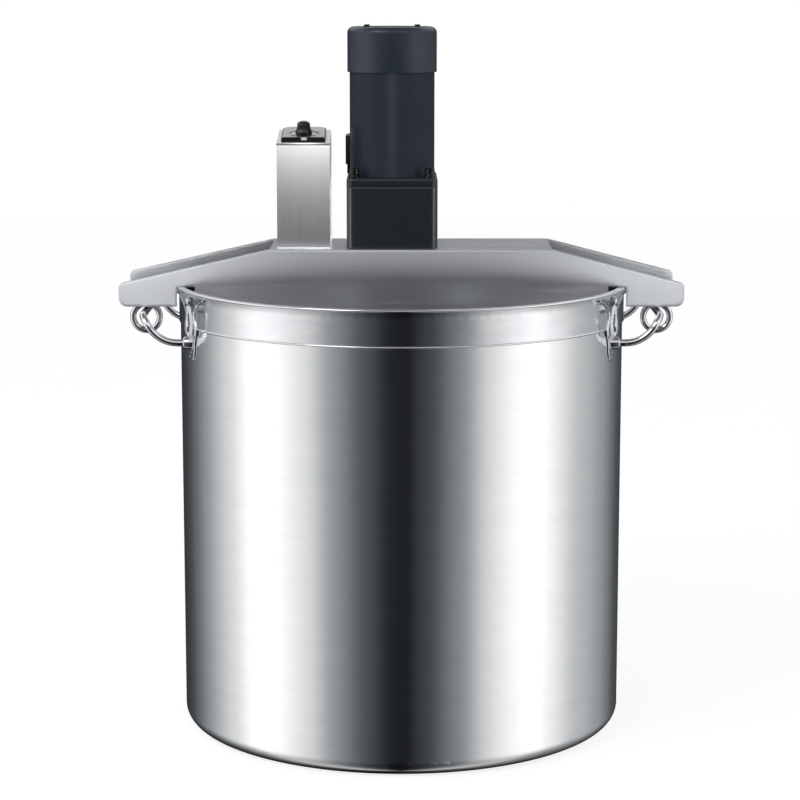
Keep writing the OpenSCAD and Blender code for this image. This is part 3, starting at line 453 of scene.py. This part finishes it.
# metals: darkest and lightest colour, span of roughness, stretch and density of the lines, scale of the
# handling marks and how far they darken, strength of the bump, width of the rounded edge
steels = {
    "mirror steel": {"dark": (0.85, 0.86, 0.875), "light": (0.89, 0.895, 0.905), "rough": (0.11, 0.135),
                     "stretch": (0.25, 0.25, 1), "density": 500, "marks": 6, "stain": 0.1, "bump": 0.004},
    "band steel": {"dark": (0.75, 0.76, 0.775), "light": (0.81, 0.815, 0.83), "rough": (0.11, 0.14),
                   "stretch": (0.2, 0.2, 1), "density": 700, "marks": 8, "stain": 0.15, "bump": 0.008},
    "bar steel": {"dark": (0.72, 0.73, 0.75), "light": (0.80, 0.81, 0.83), "rough": (0.07, 0.13),
                  "stretch": (1, 1, 1), "density": 700, "marks": 18, "stain": 0.2, "bump": 0.015},
    # the end plates: steel in a dark grey that stands in for the dark reflection they show; painted shade
    "plate with painted dark reflection": {"dark": (0.20, 0.21, 0.22), "light": (0.26, 0.27, 0.28), "rough": (0.32, 0.42),
                   "stretch": (0.03, 1, 1), "density": 1400, "marks": 18, "stain": 0.3, "bump": 0.03},
    "pressed steel": {"dark": (0.54, 0.55, 0.57), "light": (0.64, 0.65, 0.67), "rough": (0.09, 0.15),
                      "stretch": (1, 1, 1), "density": 700, "marks": 20, "stain": 0.2, "bump": 0.015},
    "satin sheet": {"dark": (0.68, 0.695, 0.725), "light": (0.72, 0.735, 0.765), "rough": (0.27, 0.33),
                    "stretch": (0.03, 1, 1), "density": 2200, "marks": 4, "stain": 0.12, "bump": 0.02,
                    "edge": 0.004},
    "brushed sheet": {"dark": (0.66, 0.665, 0.675), "light": (0.67, 0.675, 0.685), "rough": (0.30, 0.34),
                      "stretch": (1, 1, 0.03), "density": 2400, "marks": 6, "stain": 0.1, "bump": 0.006,
                      "edge": 0.0002},
    "zinc steel": {"dark": (0.46, 0.47, 0.49), "light": (0.62, 0.63, 0.66), "rough": (0.25, 0.4),
                   "stretch": (1, 1, 1), "density": 300, "marks": 40, "stain": 0.4, "bump": 0.1},
    "ground steel": {"dark": (0.50, 0.51, 0.53), "light": (0.64, 0.65, 0.67), "rough": (0.2, 0.32),
                     "stretch": (0.3, 0.3, 1), "density": 1500, "marks": 20, "stain": 0.25, "bump": 0.08},
    "core steel": {"dark": (0.20, 0.21, 0.23), "light": (0.36, 0.37, 0.39), "rough": (0.4, 0.6),
                   "stretch": (0.01, 0.01, 1), "density": 1600, "marks": 30, "stain": 0.4, "bump": 0.35},
    "gear steel": {"dark": (0.36, 0.37, 0.39), "light": (0.52, 0.53, 0.55), "rough": (0.22, 0.38),
                   "stretch": (1, 1, 0.1), "density": 900, "marks": 60, "stain": 0.4, "bump": 0.12},
    "cast aluminium": {"dark": (0.46, 0.46, 0.47), "light": (0.60, 0.60, 0.61), "rough": (0.42, 0.6),
                       "stretch": (1, 1, 1), "density": 350, "marks": 30, "stain": 0.3, "bump": 0.4},
    "black oxide": {"dark": (0.03, 0.03, 0.033), "light": (0.07, 0.07, 0.075), "rough": (0.18, 0.3),
                    "stretch": (1, 1, 1), "density": 500, "marks": 60, "stain": 0.4, "bump": 0.12},
    "dial aluminium": {"dark": (0.40, 0.405, 0.42), "light": (0.46, 0.465, 0.48), "rough": (0.3, 0.4),
                       "stretch": (0.03, 1, 1), "density": 1500, "marks": 30, "stain": 0.15, "bump": 0.05},
    "copper wire": {"dark": (0.45, 0.17, 0.07), "light": (0.68, 0.31, 0.14), "rough": (0.25, 0.4),
                    "stretch": (1, 1, 1), "density": 700, "marks": 60, "stain": 0.4, "bump": 0.3},
}

# paints and plastics: new and faded colour, span of roughness, scale of the texture and of the handling
# marks, strength of the bump, and for rubbed corners their colour, width and share
coatings = {
    "motor paint": {"colour": (0.019, 0.023, 0.034), "faded": (0.023, 0.028, 0.039), "rough": (0.36, 0.42),
                    "shine": 0.11, "texture": 900, "marks": 14, "bump": 0.12,
                    "worn": (0.10, 0.11, 0.13), "wornWidth": 0.0009, "wornShare": 0.5},
    "cover paint": {"colour": (0.020, 0.028, 0.043), "faded": (0.025, 0.034, 0.051), "rough": (0.30, 0.38),
                    "shine": 0.4, "texture": 800, "marks": 16, "bump": 0.16, "edge": 0.001,
                    "worn": (0.10, 0.12, 0.14), "wornWidth": 0.0008, "wornShare": 0.4},
    "gearbox paint": {"colour": (0.0150, 0.0205, 0.027), "faded": (0.018, 0.024, 0.031), "rough": (0.24, 0.32),
                      "texture": 1500, "marks": 14, "bump": 0.02, "edge": 0.0012},
    "black plastic": {"colour": (0.018, 0.018, 0.020), "faded": (0.030, 0.030, 0.033), "rough": (0.4, 0.55),
                      "texture": 1100, "marks": 40, "bump": 0.15},
    "bezel plastic": {"colour": (0.010, 0.010, 0.012), "faded": (0.020, 0.020, 0.023), "rough": (0.25, 0.38),
                      "texture": 1300, "marks": 60, "bump": 0.08, "worn": (0.05, 0.05, 0.055), "wornWidth": 0.0004,
                      "wornShare": 0.5},
    "knob plastic": {"colour": (0.006, 0.006, 0.007), "faded": (0.013, 0.013, 0.014), "rough": (0.16, 0.3),
                     "texture": 1500, "marks": 90, "bump": 0.05, "worn": (0.05, 0.05, 0.05), "wornWidth": 0.0003,
                     "wornShare": 0.6},
    "grey plastic": {"colour": (0.055, 0.055, 0.062), "faded": (0.08, 0.08, 0.088), "rough": (0.42, 0.55),
                     "texture": 1000, "marks": 40, "bump": 0.15},
    "green board": {"colour": (0.012, 0.09, 0.04), "faded": (0.02, 0.13, 0.06), "rough": (0.25, 0.4),
                    "texture": 1800, "marks": 120, "bump": 0.1},
    "dial ink": {"colour": (0.008, 0.008, 0.009), "faded": (0.02, 0.02, 0.022), "rough": (0.35, 0.5),
                 "texture": 2500, "marks": 200, "bump": 0.05},
    "dial white": {"colour": (0.83, 0.83, 0.82), "faded": (0.74, 0.74, 0.73), "rough": (0.3, 0.45),
                   "texture": 2500, "marks": 200, "bump": 0.05},
    # the gasket between gearbox case and plate: lighter than the gearbox paint, a painted highlight along the
    # joint
    "gasket paper with painted highlight": {"colour": (0.085, 0.088, 0.092), "faded": (0.11, 0.113, 0.118), "rough": (0.55, 0.7),
                     "texture": 2500, "marks": 60, "bump": 0.1},
    "white blade": {"colour": (0.78, 0.78, 0.75), "faded": (0.70, 0.69, 0.65), "rough": (0.42, 0.55),
                    "texture": 600, "marks": 12, "bump": 0.1},
}

finishes = {name: makeSteel(name, look) for name, look in steels.items()}
finishes.update({name: makeCoated(name, look) for name, look in coatings.items()})

# which CAD nodes have each finish
finishOf = {
    "mirror steel": ["pot_shell"],
    "band steel": ["rim_band"],
    "bar steel": ["left_handle", "right_handle", "left_ring", "right_ring"],
    "pressed steel": ["left_front_bracket", "left_rear_bracket", "right_front_bracket", "right_rear_bracket",
                      "bracket_rivets"],
    "satin sheet": ["bridge"],
    # the end plates get the dark grey that paints their dark reflection
    "plate with painted dark reflection": ["left_end_plate", "right_end_plate"],
    "zinc steel": ["bolt_nuts", "coupling_screws", "frame_bolts", "stirrer_pins",
                   "scraper_screws", "back_screws"],
    "gearbox paint": ["gearbox_case", "gearbox_plate"],
    "black oxide": ["gearbox_bolts", "cover_screws"],
    "ground steel": ["output_bearings", "motor_bearings", "potentiometer_shaft", "rotor_shaft", "output_shaft",
                     "coupling", "stirrer_shaft", "stirrer_hub", "tie_collar"],
    "motor paint": ["motor_housing"],
    "cast aluminium": ["end_shield"],
    "core steel": ["stator", "rotor_core"],
    "copper wire": ["windings"],
    "cover paint": ["fan_cover"],
    "black plastic": ["terminal_box", "cable_gland"],
    "brushed sheet": ["control_box", "control_box_back", "stirrer_frame"],
    "bezel plastic": ["control_faceplate"],
    "dial aluminium": ["dial_plate"],
    "grey plastic": ["potentiometer", "cooling_fan"],
    "green board": ["speed_board"],
    "knob plastic": ["knob"],
    "gear steel": ["first_layshaft", "first_gear", "second_layshaft", "second_gear", "output_gear"],
    "white blade": ["bottom_scrapers", "side_scrapers", "mixing_paddles"],
}

# how the CAD nodes' loose triangles are joined and shaded
nodeSkin = {"weld": 0.00001, "crease": 32}


def dressNode(node, finish):
    thing = nodes[node]
    if not thing.material_slots:
        thing.data.materials.append(finishes[finish])
    for slot in thing.material_slots:
        slot.material = finishes[finish]
    for face in thing.data.polygons:
        face.use_smooth = True
    weld = thing.modifiers.new("weld", "WELD")
    weld.merge_threshold = nodeSkin["weld"]
    split = thing.modifiers.new("crease", "EDGE_SPLIT")
    split.split_angle = math.radians(nodeSkin["crease"])


for finish, members in finishOf.items():
    for member in members:
        dressNode(member, finish)
print("finishes are on the nodes")


# how every piece made here is closed and rounded
making = {"merge": 0.000005, "crease": 35, "bevelSteps": 2}


def addPiece(name, shape, finish, body, crease=making["crease"], bevel=0.0):
    bmesh.ops.remove_doubles(shape, verts=shape.verts, dist=making["merge"])
    bmesh.ops.recalc_face_normals(shape, faces=shape.faces)
    mesh = bpy.data.meshes.new(name)
    shape.to_mesh(mesh)
    shape.free()
    for face in mesh.polygons:
        face.use_smooth = True
    mesh.materials.append(finishes[finish])
    thing = bpy.data.objects.new(name, mesh)
    bpy.context.scene.collection.objects.link(thing)
    if bevel:
        rounding = thing.modifiers.new("rounded edges", "BEVEL")
        rounding.width = bevel
        rounding.segments = making["bevelSteps"]
        rounding.limit_method = "ANGLE"
        rounding.angle_limit = math.radians(crease)
    split = thing.modifiers.new("crease", "EDGE_SPLIT")
    split.split_angle = math.radians(crease)
    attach(thing, body)
    return thing


def startBlock(size, corner=0.0, steps=1, axis=2):
    # a block round the origin, with rounded corners along the axis
    shape = bmesh.new()
    bmesh.ops.create_cube(shape, size=1)
    bmesh.ops.scale(shape, vec=size, verts=shape.verts)
    if corner:
        along = [edge for edge in shape.edges
                 if abs(edge.verts[0].co[axis] - edge.verts[1].co[axis]) > size[axis] / 2]
        bmesh.ops.bevel(shape, geom=along, offset=corner, segments=steps, affect="EDGES", profile=0.5, material=-1)
    return shape


def turnProfile(shape, points, centre, axis, steps):
    verts = [shape.verts.new(point) for point in points]
    edges = [shape.edges.new(pair) for pair in zip(verts, verts[1:])]
    bmesh.ops.spin(shape, geom=verts + edges, cent=centre, axis=axis, angle=2 * math.pi, steps=steps,
                   use_merge=True, use_duplicate=False)


def addWords(shape, words, place, height, thick):
    curve = bpy.data.curves.new(words, "FONT")
    curve.body = words
    curve.size = height
    curve.extrude = thick
    curve.align_x = "CENTER"
    curve.align_y = "CENTER"
    holder = bpy.data.objects.new(words, curve)
    bpy.context.scene.collection.objects.link(holder)
    bpy.context.view_layer.update()
    flat = bpy.data.meshes.new_from_object(holder.evaluated_get(bpy.context.evaluated_depsgraph_get()))
    flat.transform(place)
    shape.from_mesh(flat)
    bpy.data.objects.remove(holder)
    bpy.data.meshes.remove(flat)


# the dial: a tapering black scale, plain numbers round it and white sectors beside the knob
knobJoint = next(joint for joint in frame["record"]["behaviour"]["joints"] if joint["name"] == "speed_knob")
dial = {
    "axis": Vector(knobJoint["axis"]), "centre": Vector(knobJoint["pos_m"]),
    "plateTop": 0.0058,          # above the sloping sheet
    "travel": 280,               # degrees from the first number to the last
    "ink": 0.00012,              # how thick it stands on the plate
    # from and to in degrees clockwise from the back, inner radius, width at the start and at the end
    "scale": [(-86, 86, 0.0142, 0.0024, 0.0034), (118, 146, 0.0136, 0.0026, 0.0026),
              (-146, -118, 0.0136, 0.0026, 0.0026)],
    "whites": [(-101, -56, 0.0100, 0.0036, 0.0036), (56, 101, 0.0100, 0.0036, 0.0036)],
    "arcStep": 4,                # degrees for each face
    "numberPlace": 0.0196, "numberSize": 0.0030, "numbers": 10,
    "markSize": (0.0062, 0.0003, 0.003), "markPlace": (0.0009, -0.0190, -0.0018), "markBevel": 0.0001,
}


def dialPlace(lift=0.0):
    tilt = dial["axis"].rotation_difference(Vector((0, 0, 1))).inverted().to_matrix().to_4x4()
    return Matrix.Translation(dial["centre"]) @ tilt @ Matrix.Translation((0, 0, dial["plateTop"] + lift))


def addArc(shape, arc):
    start, stop, inner, thin, thick = arc
    first = shape.verts.new((0, inner, 0))
    second = shape.verts.new((0, inner + thin, 0))
    edge = shape.edges.new((first, second))
    begin = Matrix.Rotation(-math.radians(start), 3, "Z")
    bmesh.ops.rotate(shape, verts=[first, second], cent=(0, 0, 0), matrix=begin)
    bmesh.ops.spin(shape, geom=[first, second, edge], cent=(0, 0, 0), axis=(0, 0, 1),
                   angle=-math.radians(stop - start), steps=round((stop - start) / dial["arcStep"]),
                   use_duplicate=False)
    flat = {first, second} | {vert for face in shape.faces for vert in face.verts if not face.tag}
    for vert in flat:                                    # the outer edge grows with the turn
        if vert.co.length > inner + thin / 2:
            turn = math.degrees(math.atan2(vert.co.x, vert.co.y))
            vert.co = vert.co.normalized() * (inner + thin + (thick - thin) * (turn - start) / (stop - start))
    skin = bmesh.ops.extrude_face_region(shape, geom=[face for face in shape.faces if not face.tag])
    raised = [item for item in skin["geom"] if isinstance(item, bmesh.types.BMVert)]
    bmesh.ops.translate(shape, verts=raised, vec=(0, 0, dial["ink"]))
    for face in shape.faces:
        face.tag = True


def buildDial():
    half = math.radians(dial["travel"] / 2)
    for name, arcs, ink in (("dial_scale", "scale", "dial ink"), ("dial_whites", "whites", "dial white")):
        shape = bmesh.new()
        for arc in dial[arcs]:
            addArc(shape, arc)
        bmesh.ops.transform(shape, matrix=dialPlace(), verts=shape.verts)
        addPiece(name, shape, ink, "mixer")

    figures = bmesh.new()
    for count in range(dial["numbers"] + 1):
        turn = half - 2 * half * count / dial["numbers"]
        spot = Vector((-math.sin(turn), math.cos(turn), 0)) * dial["numberPlace"]
        addWords(figures, str(count), dialPlace(dial["ink"] / 2) @ Matrix.Translation(spot), dial["numberSize"],
                 dial["ink"] / 2)
    addPiece("dial_numbers", figures, "dial ink", "mixer")

    mark = startBlock(dial["markSize"])
    bmesh.ops.transform(mark, matrix=dialPlace() @ Matrix.Translation(dial["markPlace"]), verts=mark.verts)
    addPiece("bezel_mark", mark, "dial white", "mixer", bevel=dial["markBevel"])


buildDial()


# the knob: a flared skirt, a fluted grip and a bevelled cap
grip = {
    "lift": 0.0005,              # above the dial plate
    # radius, height, depth of the flutes
    "profile": [(0, 0.0136, 0), (0.0034, 0.0136, 0), (0.0044, 0.0133, 0), (0.0062, 0.0122, 0),
                (0.0068, 0.0115, 0.1), (0.0071, 0.0105, 0.6), (0.0073, 0.0085, 1), (0.0075, 0.0065, 1),
                (0.0078, 0.0052, 0.7), (0.0083, 0.0042, 0.1), (0.0088, 0.0032, 0), (0.0092, 0.0020, 0),
                (0.0094, 0.0010, 0), (0.0094, 0.0003, 0), (0.0090, 0, 0), (0, 0, 0)],
    "flutes": 12, "fluteDepth": 0.0009, "fluteSharpness": 1.5, "steps": 144, "crease": 48,
}


def buildKnob():
    shape = bmesh.new()
    turnProfile(shape, [(radius, 0, high) for radius, high, share in grip["profile"]], (0, 0, 0), (0, 0, 1),
                grip["steps"])
    shares = {round(high, 5): share for radius, high, share in grip["profile"] if share}
    for vert in shape.verts:
        share = shares.get(round(vert.co.z, 5), 0)
        if share:
            wave = max(0, math.cos(math.atan2(vert.co.x, vert.co.y) * grip["flutes"]))
            dent = grip["fluteDepth"] * share * wave ** grip["fluteSharpness"]
            vert.co.xy *= 1 - dent / vert.co.xy.length
    bmesh.ops.transform(shape, matrix=dialPlace(grip["lift"]), verts=shape.verts)
    piece = addPiece("knob_moulding", shape, "knob plastic", "knob", crease=grip["crease"])
    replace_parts(piece, "knob")


buildKnob()
print("dial is marked and the knob stands on it")


# each handle bracket as one pressing: flared wing, two strands round the slot, leaf shaped tail with spot welds
bracket = {
    "turn": 23.08,               # degrees from the bridge's line
    "rim": 0.505,                # all heights below are from here
    "wing": 0.2528, "tail": 0.2518,                          # radius of the skin over the band and under it
    "bandOut": 0.2515, "potOut": 0.2501, "bandLow": -0.0405,     # what the skin lies on
    "step": (-0.0520, -0.0455),  # where the skin steps in past the band
    # height under the rim, half width
    "outline": [(-0.0780, 0.0010), (-0.0765, 0.0043), (-0.0710, 0.0094), (-0.0660, 0.0113), (-0.0580, 0.0118),
                (-0.0520, 0.0143), (-0.0470, 0.0183), (-0.0410, 0.0198), (-0.0360, 0.0183), (-0.0310, 0.0154),
                (-0.0260, 0.0144), (-0.0210, 0.0164), (-0.0160, 0.0214), (-0.0120, 0.0284), (-0.0090, 0.0364),
                (-0.0070, 0.0442), (-0.0045, 0.0442)],
    "rows": 120, "columns": 64,
    "flareFrom": -0.030, "flare": 0.0024,                    # the wing leans out towards the rim
    # one strand's line, away from the middle and height; the other is its mirror
    "strands": [(0.0026, -0.018), (0.0080, -0.033), (0.0034, -0.050)],
    "strandWidth": 0.0020, "strandHigh": 0.0024,
    "slot": ((-0.027, 0.0032), (-0.042, 0.0042)),            # height and radius of its round ends
    "bead": 0.0006, "beadPlace": 0.0026, "beadWidth": 0.0008,    # the raised line inside the wing's edge
    "pillow": 0.0020,            # how far in from the edge its rounding reaches
    "tailFrom": -0.05, "dome": 0.0012, "domeFade": (-0.056, -0.049), "crease": 50,
    "welds": [(0, -0.0570), (-0.0055, -0.0615), (0.0050, -0.0625), (0, -0.0675), (-0.0030, -0.0720)],
    "weldWidth": 0.0012, "weldHigh": 0.0007,
    # the socket that holds the handle's end: distance from the pot's axis along X, radius
    "socket": [(0.2290, 0.0070), (0.2380, 0.0070), (0.2392, 0.0066), (0.2399, 0.0056), (0.2399, 0.0042)],
    "socketY": 0.098, "socketZ": 0.448, "socketSteps": 32,
}


def halfWidth(drop):
    outline = bracket["outline"]
    for (lowDrop, lowWide), (highDrop, highWide) in zip(outline, outline[1:]):
        if drop <= highDrop:
            return lowWide + (highWide - lowWide) * (drop - lowDrop) / (highDrop - lowDrop)
    return outline[-1][1]


def smoothStep(value, low, high):
    share = min(max((value - low) / (high - low), 0), 1)
    return share * share * (3 - 2 * share)


def hump(distance, width):
    return math.exp(-(distance / width) ** 2)


def fromLine(along, drop, points):
    spot = Vector((along, drop))
    best = math.inf
    for first, second in zip(points, points[1:]):
        start, run = Vector(first), Vector(second) - Vector(first)
        share = min(max((spot - start).dot(run) / run.length_squared, 0), 1)
        best = min(best, (spot - start - run * share).length)
    return best


def inSlot(along, drop):
    (topDrop, topRadius), (lowDrop, lowRadius) = bracket["slot"]
    share = min(max((drop - topDrop) / (lowDrop - topDrop), 0), 1)
    middle = topDrop + (lowDrop - topDrop) * share
    return math.hypot(along, drop - middle) < topRadius + (lowRadius - topRadius) * share


def skinRadius(along, drop):
    wide = halfWidth(drop)
    toEdge = wide - abs(along)
    radius = bracket["tail"] + (bracket["wing"] - bracket["tail"]) * smoothStep(drop, *bracket["step"])
    if drop > bracket["flareFrom"]:
        share = (drop - bracket["flareFrom"]) / (bracket["outline"][-1][0] - bracket["flareFrom"])
        radius += bracket["flare"] * share * share
    strand = fromLine(abs(along), drop, bracket["strands"])
    radius += bracket["strandHigh"] * hump(strand, bracket["strandWidth"])
    if drop > bracket["tailFrom"]:
        radius += bracket["bead"] * hump(toEdge - bracket["beadPlace"], bracket["beadWidth"])
    else:
        radius += bracket["dome"] * (1 - (along / wide) ** 2) * smoothStep(drop, *bracket["domeFade"])
    for weldAlong, weldDrop in bracket["welds"]:
        away = math.hypot(along - weldAlong, drop - weldDrop)
        radius += bracket["weldHigh"] * hump(away, bracket["weldWidth"])
    ground = bracket["bandOut"] if drop > bracket["bandLow"] else bracket["potOut"]
    near = min(max(toEdge / bracket["pillow"], 0), 1)
    return ground + (radius - ground) * math.sqrt(1 - (1 - near) ** 2)


def buildBracket(name, angle, front, side):
    shape = bmesh.new()
    bmesh.ops.create_grid(shape, x_segments=bracket["columns"], y_segments=bracket["rows"], size=1)
    low, high = bracket["outline"][0][0], bracket["outline"][-1][0]
    flat = {}
    for vert in shape.verts:                             # columns stand closer together at the rounded edge
        drop = low + (high - low) * (vert.co.y + 1) / 2
        flat[vert] = (math.sin(vert.co.x * math.pi / 2) * halfWidth(drop), drop)
    holes = []
    for face in shape.faces:
        spots = [flat[vert] for vert in face.verts]
        along, drop = (sum(values) / len(spots) for values in zip(*spots))
        if inSlot(along, drop):
            holes.append(face)
    bmesh.ops.delete(shape, geom=holes, context="FACES")
    for vert in shape.verts:
        along, drop = flat[vert]
        radius = skinRadius(along, drop)
        swing = angle + along / bracket["wing"]
        vert.co = (radius * math.cos(swing), radius * math.sin(swing), bracket["rim"] + drop)
    rim = [edge for edge in shape.edges if edge.is_boundary]
    skirt = bmesh.ops.extrude_edge_only(shape, edges=rim)
    for vert in (item for item in skirt["geom"] if isinstance(item, bmesh.types.BMVert)):
        shrink = bracket["potOut"] / math.hypot(vert.co.x, vert.co.y)
        vert.co.x *= shrink
        vert.co.y *= shrink
    y, z = bracket["socketY"] * front, bracket["socketZ"]
    points = [(side * out, y + radius, z) for out, radius in bracket["socket"]]
    turnProfile(shape, points, (0, y, z), (1, 0, 0), bracket["socketSteps"])
    return addPiece(name + "_pressing", shape, "pressed steel", "pot", crease=bracket["crease"])


for side, base, out in (("left", math.pi, -1), ("right", 0, 1)):
    for row, lean in (("front", -1), ("rear", 1)):
        turn = math.radians(bracket["turn"]) * lean
        node = side + "_" + row + "_bracket"
        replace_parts(buildBracket(node, base - turn if side == "left" else turn, lean, out), node)


# black socket head bolts that clamp the gearbox, with a flared foot and two grooves
bolt = {
    "centre": -0.0105, "offset": 0.042,
    "seat": 0.6252,              # on the plate's raised top
    # radius, height
    "profile": [(0.0031, 0.0050), (0.0031, 0.0101), (0.0047, 0.0101), (0.0054, 0.0094), (0.0054, 0.0078),
                (0.0050, 0.0074), (0.0050, 0.0068), (0.0055, 0.0064), (0.0055, 0.0044), (0.0051, 0.0040),
                (0.0051, 0.0034), (0.0056, 0.0030), (0.0060, 0.0014), (0.0065, 0.0010), (0.0065, 0.0)],
    "steps": 36, "crease": 40,
}


def buildBoltHeads():
    shape = bmesh.new()
    for column in (-1, 1):
        for row in (-1, 1):
            across, along = bolt["centre"] + column * bolt["offset"], row * bolt["offset"]
            points = [(across + radius, along, bolt["seat"] + high) for radius, high in bolt["profile"]]
            turnProfile(shape, points, (across, along, 0), (0, 0, 1), bolt["steps"])
    addPiece("gearbox_bolt_heads", shape, "black oxide", "mixer", crease=bolt["crease"])


buildBoltHeads()


# the gearbox plate with its sloping top edge, open in the middle where the motor stands, and the gasket under it,
# whose light grey is a painted highlight along the joint between case and plate
plate = {"corner": 0.008, "cornerSteps": 10, "edge": 0.0034, "edgeSteps": 4, "rise": 0.0027, "bore": 0.040,
         "steps": 64, "crease": 30,
         # how its parts are told apart: upright normal of a cap, share of the half height that is an end,
         # angle of a sharp edge in radians, share of the bore's radius beyond which an edge isn't the bore's
         "capNormal": 0.9, "endShare": 0.1, "sharp": 1, "outside": 1.05}
gasket = {"tall": 0.0009, "out": 0.0001, "bevel": 0.0002}


def buildGearboxPlate():
    low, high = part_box("gearbox_plate")
    high.z += plate["rise"]
    half = (high.z - low.z) / 2
    near = half * plate["endShare"]                      # nothing else lies this close to the top or bottom
    shape = startBlock(high - low, plate["corner"], plate["cornerSteps"])
    caps = [face for face in shape.faces if abs(face.normal.z) > plate["capNormal"]]
    bmesh.ops.delete(shape, geom=caps, context="FACES_ONLY")
    loops = [edge for edge in shape.edges if edge.is_boundary]
    for level in (-half, half):
        ring = bmesh.ops.create_circle(shape, cap_ends=False, radius=plate["bore"], segments=plate["steps"])
        bmesh.ops.translate(shape, verts=ring["verts"], vec=(0, 0, level))
        inner = list({edge for vert in ring["verts"] for edge in vert.link_edges})
        outer = [edge for edge in loops if abs(edge.verts[0].co.z - level) < near]
        bmesh.ops.bridge_loops(shape, edges=inner + outer)
    bmesh.ops.bridge_loops(shape, edges=[edge for edge in shape.edges if edge.is_boundary])
    top = [edge for edge in shape.edges if edge.is_manifold and edge.calc_face_angle(0) > plate["sharp"]
           and min(vert.co.z for vert in edge.verts) > half - near
           and edge.verts[0].co.xy.length > plate["bore"] * plate["outside"]]
    bmesh.ops.bevel(shape, geom=top, offset=plate["edge"], segments=plate["edgeSteps"], affect="EDGES",
                    profile=0.5, material=-1)
    bmesh.ops.translate(shape, verts=shape.verts, vec=(low + high) / 2)
    piece = addPiece("gearbox_plate_rounded", shape, "gearbox paint", "mixer", crease=plate["crease"])
    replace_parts(piece, "gearbox_plate")


# a thin gasket on the gearbox case under the plate, coloured light grey as a painted highlight along the joint
def buildGasket():
    low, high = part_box("gearbox_case")
    size = (high.x - low.x + 2 * gasket["out"], high.y - low.y + 2 * gasket["out"], gasket["tall"])
    shape = startBlock(size, plate["corner"], plate["cornerSteps"])
    bmesh.ops.translate(shape, verts=shape.verts, vec=((low.x + high.x) / 2, (low.y + high.y) / 2, high.z))
    addPiece("gearbox_gasket_painted_highlight", shape, "gasket paper with painted highlight", "mixer", bevel=gasket["bevel"])


buildGearboxPlate()
buildGasket()
print("brackets, bolts and gearbox plate are on")


# the terminal box gets a lid with four screws, on the side that faces away from the motor
lid = {"thick": 0.0022, "lip": 0.0006, "corner": 0.003, "cornerSteps": 5, "bevel": 0.0006, "inset": 0.0062,
       "screw": (0.0026, 0.00208), "screwTall": 0.0014, "screwOut": 0.0006, "screwSteps": 20, "screwBevel": 0.0002}


def buildTerminalLid():
    low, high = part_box("terminal_box")
    wide, tall = high.x - low.x + 2 * lid["lip"], high.z - low.z + 2 * lid["lip"]
    shape = startBlock((wide, lid["thick"], tall), lid["corner"], lid["cornerSteps"], axis=1)
    middle = Vector(((low.x + high.x) / 2, high.y + lid["thick"] / 2, (low.z + high.z) / 2))
    bmesh.ops.translate(shape, verts=shape.verts, vec=middle)
    addPiece("terminal_lid", shape, "black plastic", "mixer", bevel=lid["bevel"])
    screws = bmesh.new()
    wideEnd, thinEnd = lid["screw"]
    for across in (-1, 1):
        for up in (-1, 1):
            spot = middle + Vector((across * (wide / 2 - lid["inset"]), lid["thick"] / 2 + lid["screwOut"],
                                    up * (tall / 2 - lid["inset"])))
            place = Matrix.Translation(spot) @ Matrix.Rotation(-math.pi / 2, 4, "X")
            bmesh.ops.create_cone(screws, cap_ends=True, segments=lid["screwSteps"], radius1=wideEnd,
                                  radius2=thinEnd, depth=lid["screwTall"], matrix=place)
    addPiece("terminal_lid_screws", screws, "zinc steel", "mixer", bevel=lid["screwBevel"])


buildTerminalLid()


# the foot that the terminal box stands on
foot = {"inset": 0.0015, "share": 0.7, "bevel": 0.0015}


def buildTerminalFoot():
    low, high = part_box("terminal_box")
    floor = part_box("motor_housing")[0].z
    size = Vector((high.x - low.x - 2 * foot["inset"], (high.y - low.y) * foot["share"], low.z - floor))
    shape = startBlock(size)
    bmesh.ops.translate(shape, verts=shape.verts,
                        vec=((low.x + high.x) / 2, high.y - foot["inset"] - size.y / 2, (floor + low.z) / 2))
    addPiece("terminal_foot", shape, "black plastic", "mixer", bevel=foot["bevel"])


buildTerminalFoot()


# the folded lip that closes the column's sloping top over its front sheet
lip = {"tall": 0.0028, "thick": 0.0005, "over": 0.0003, "bevel": 0.0002}


def buildColumnLip():
    low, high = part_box("control_box")
    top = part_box("control_faceplate")[0].z
    shape = startBlock((high.x - low.x + 2 * lip["over"], lip["thick"], lip["tall"]))
    bmesh.ops.translate(shape, verts=shape.verts,
                        vec=((low.x + high.x) / 2, low.y - lip["thick"] / 2, top - lip["tall"] / 2))
    piece = addPiece("column_lip", shape, "brushed sheet", "mixer", bevel=lip["bevel"])
    bpy.data.collections["column lamp receivers"].objects.link(piece)


buildColumnLip()
print("small pieces are on")
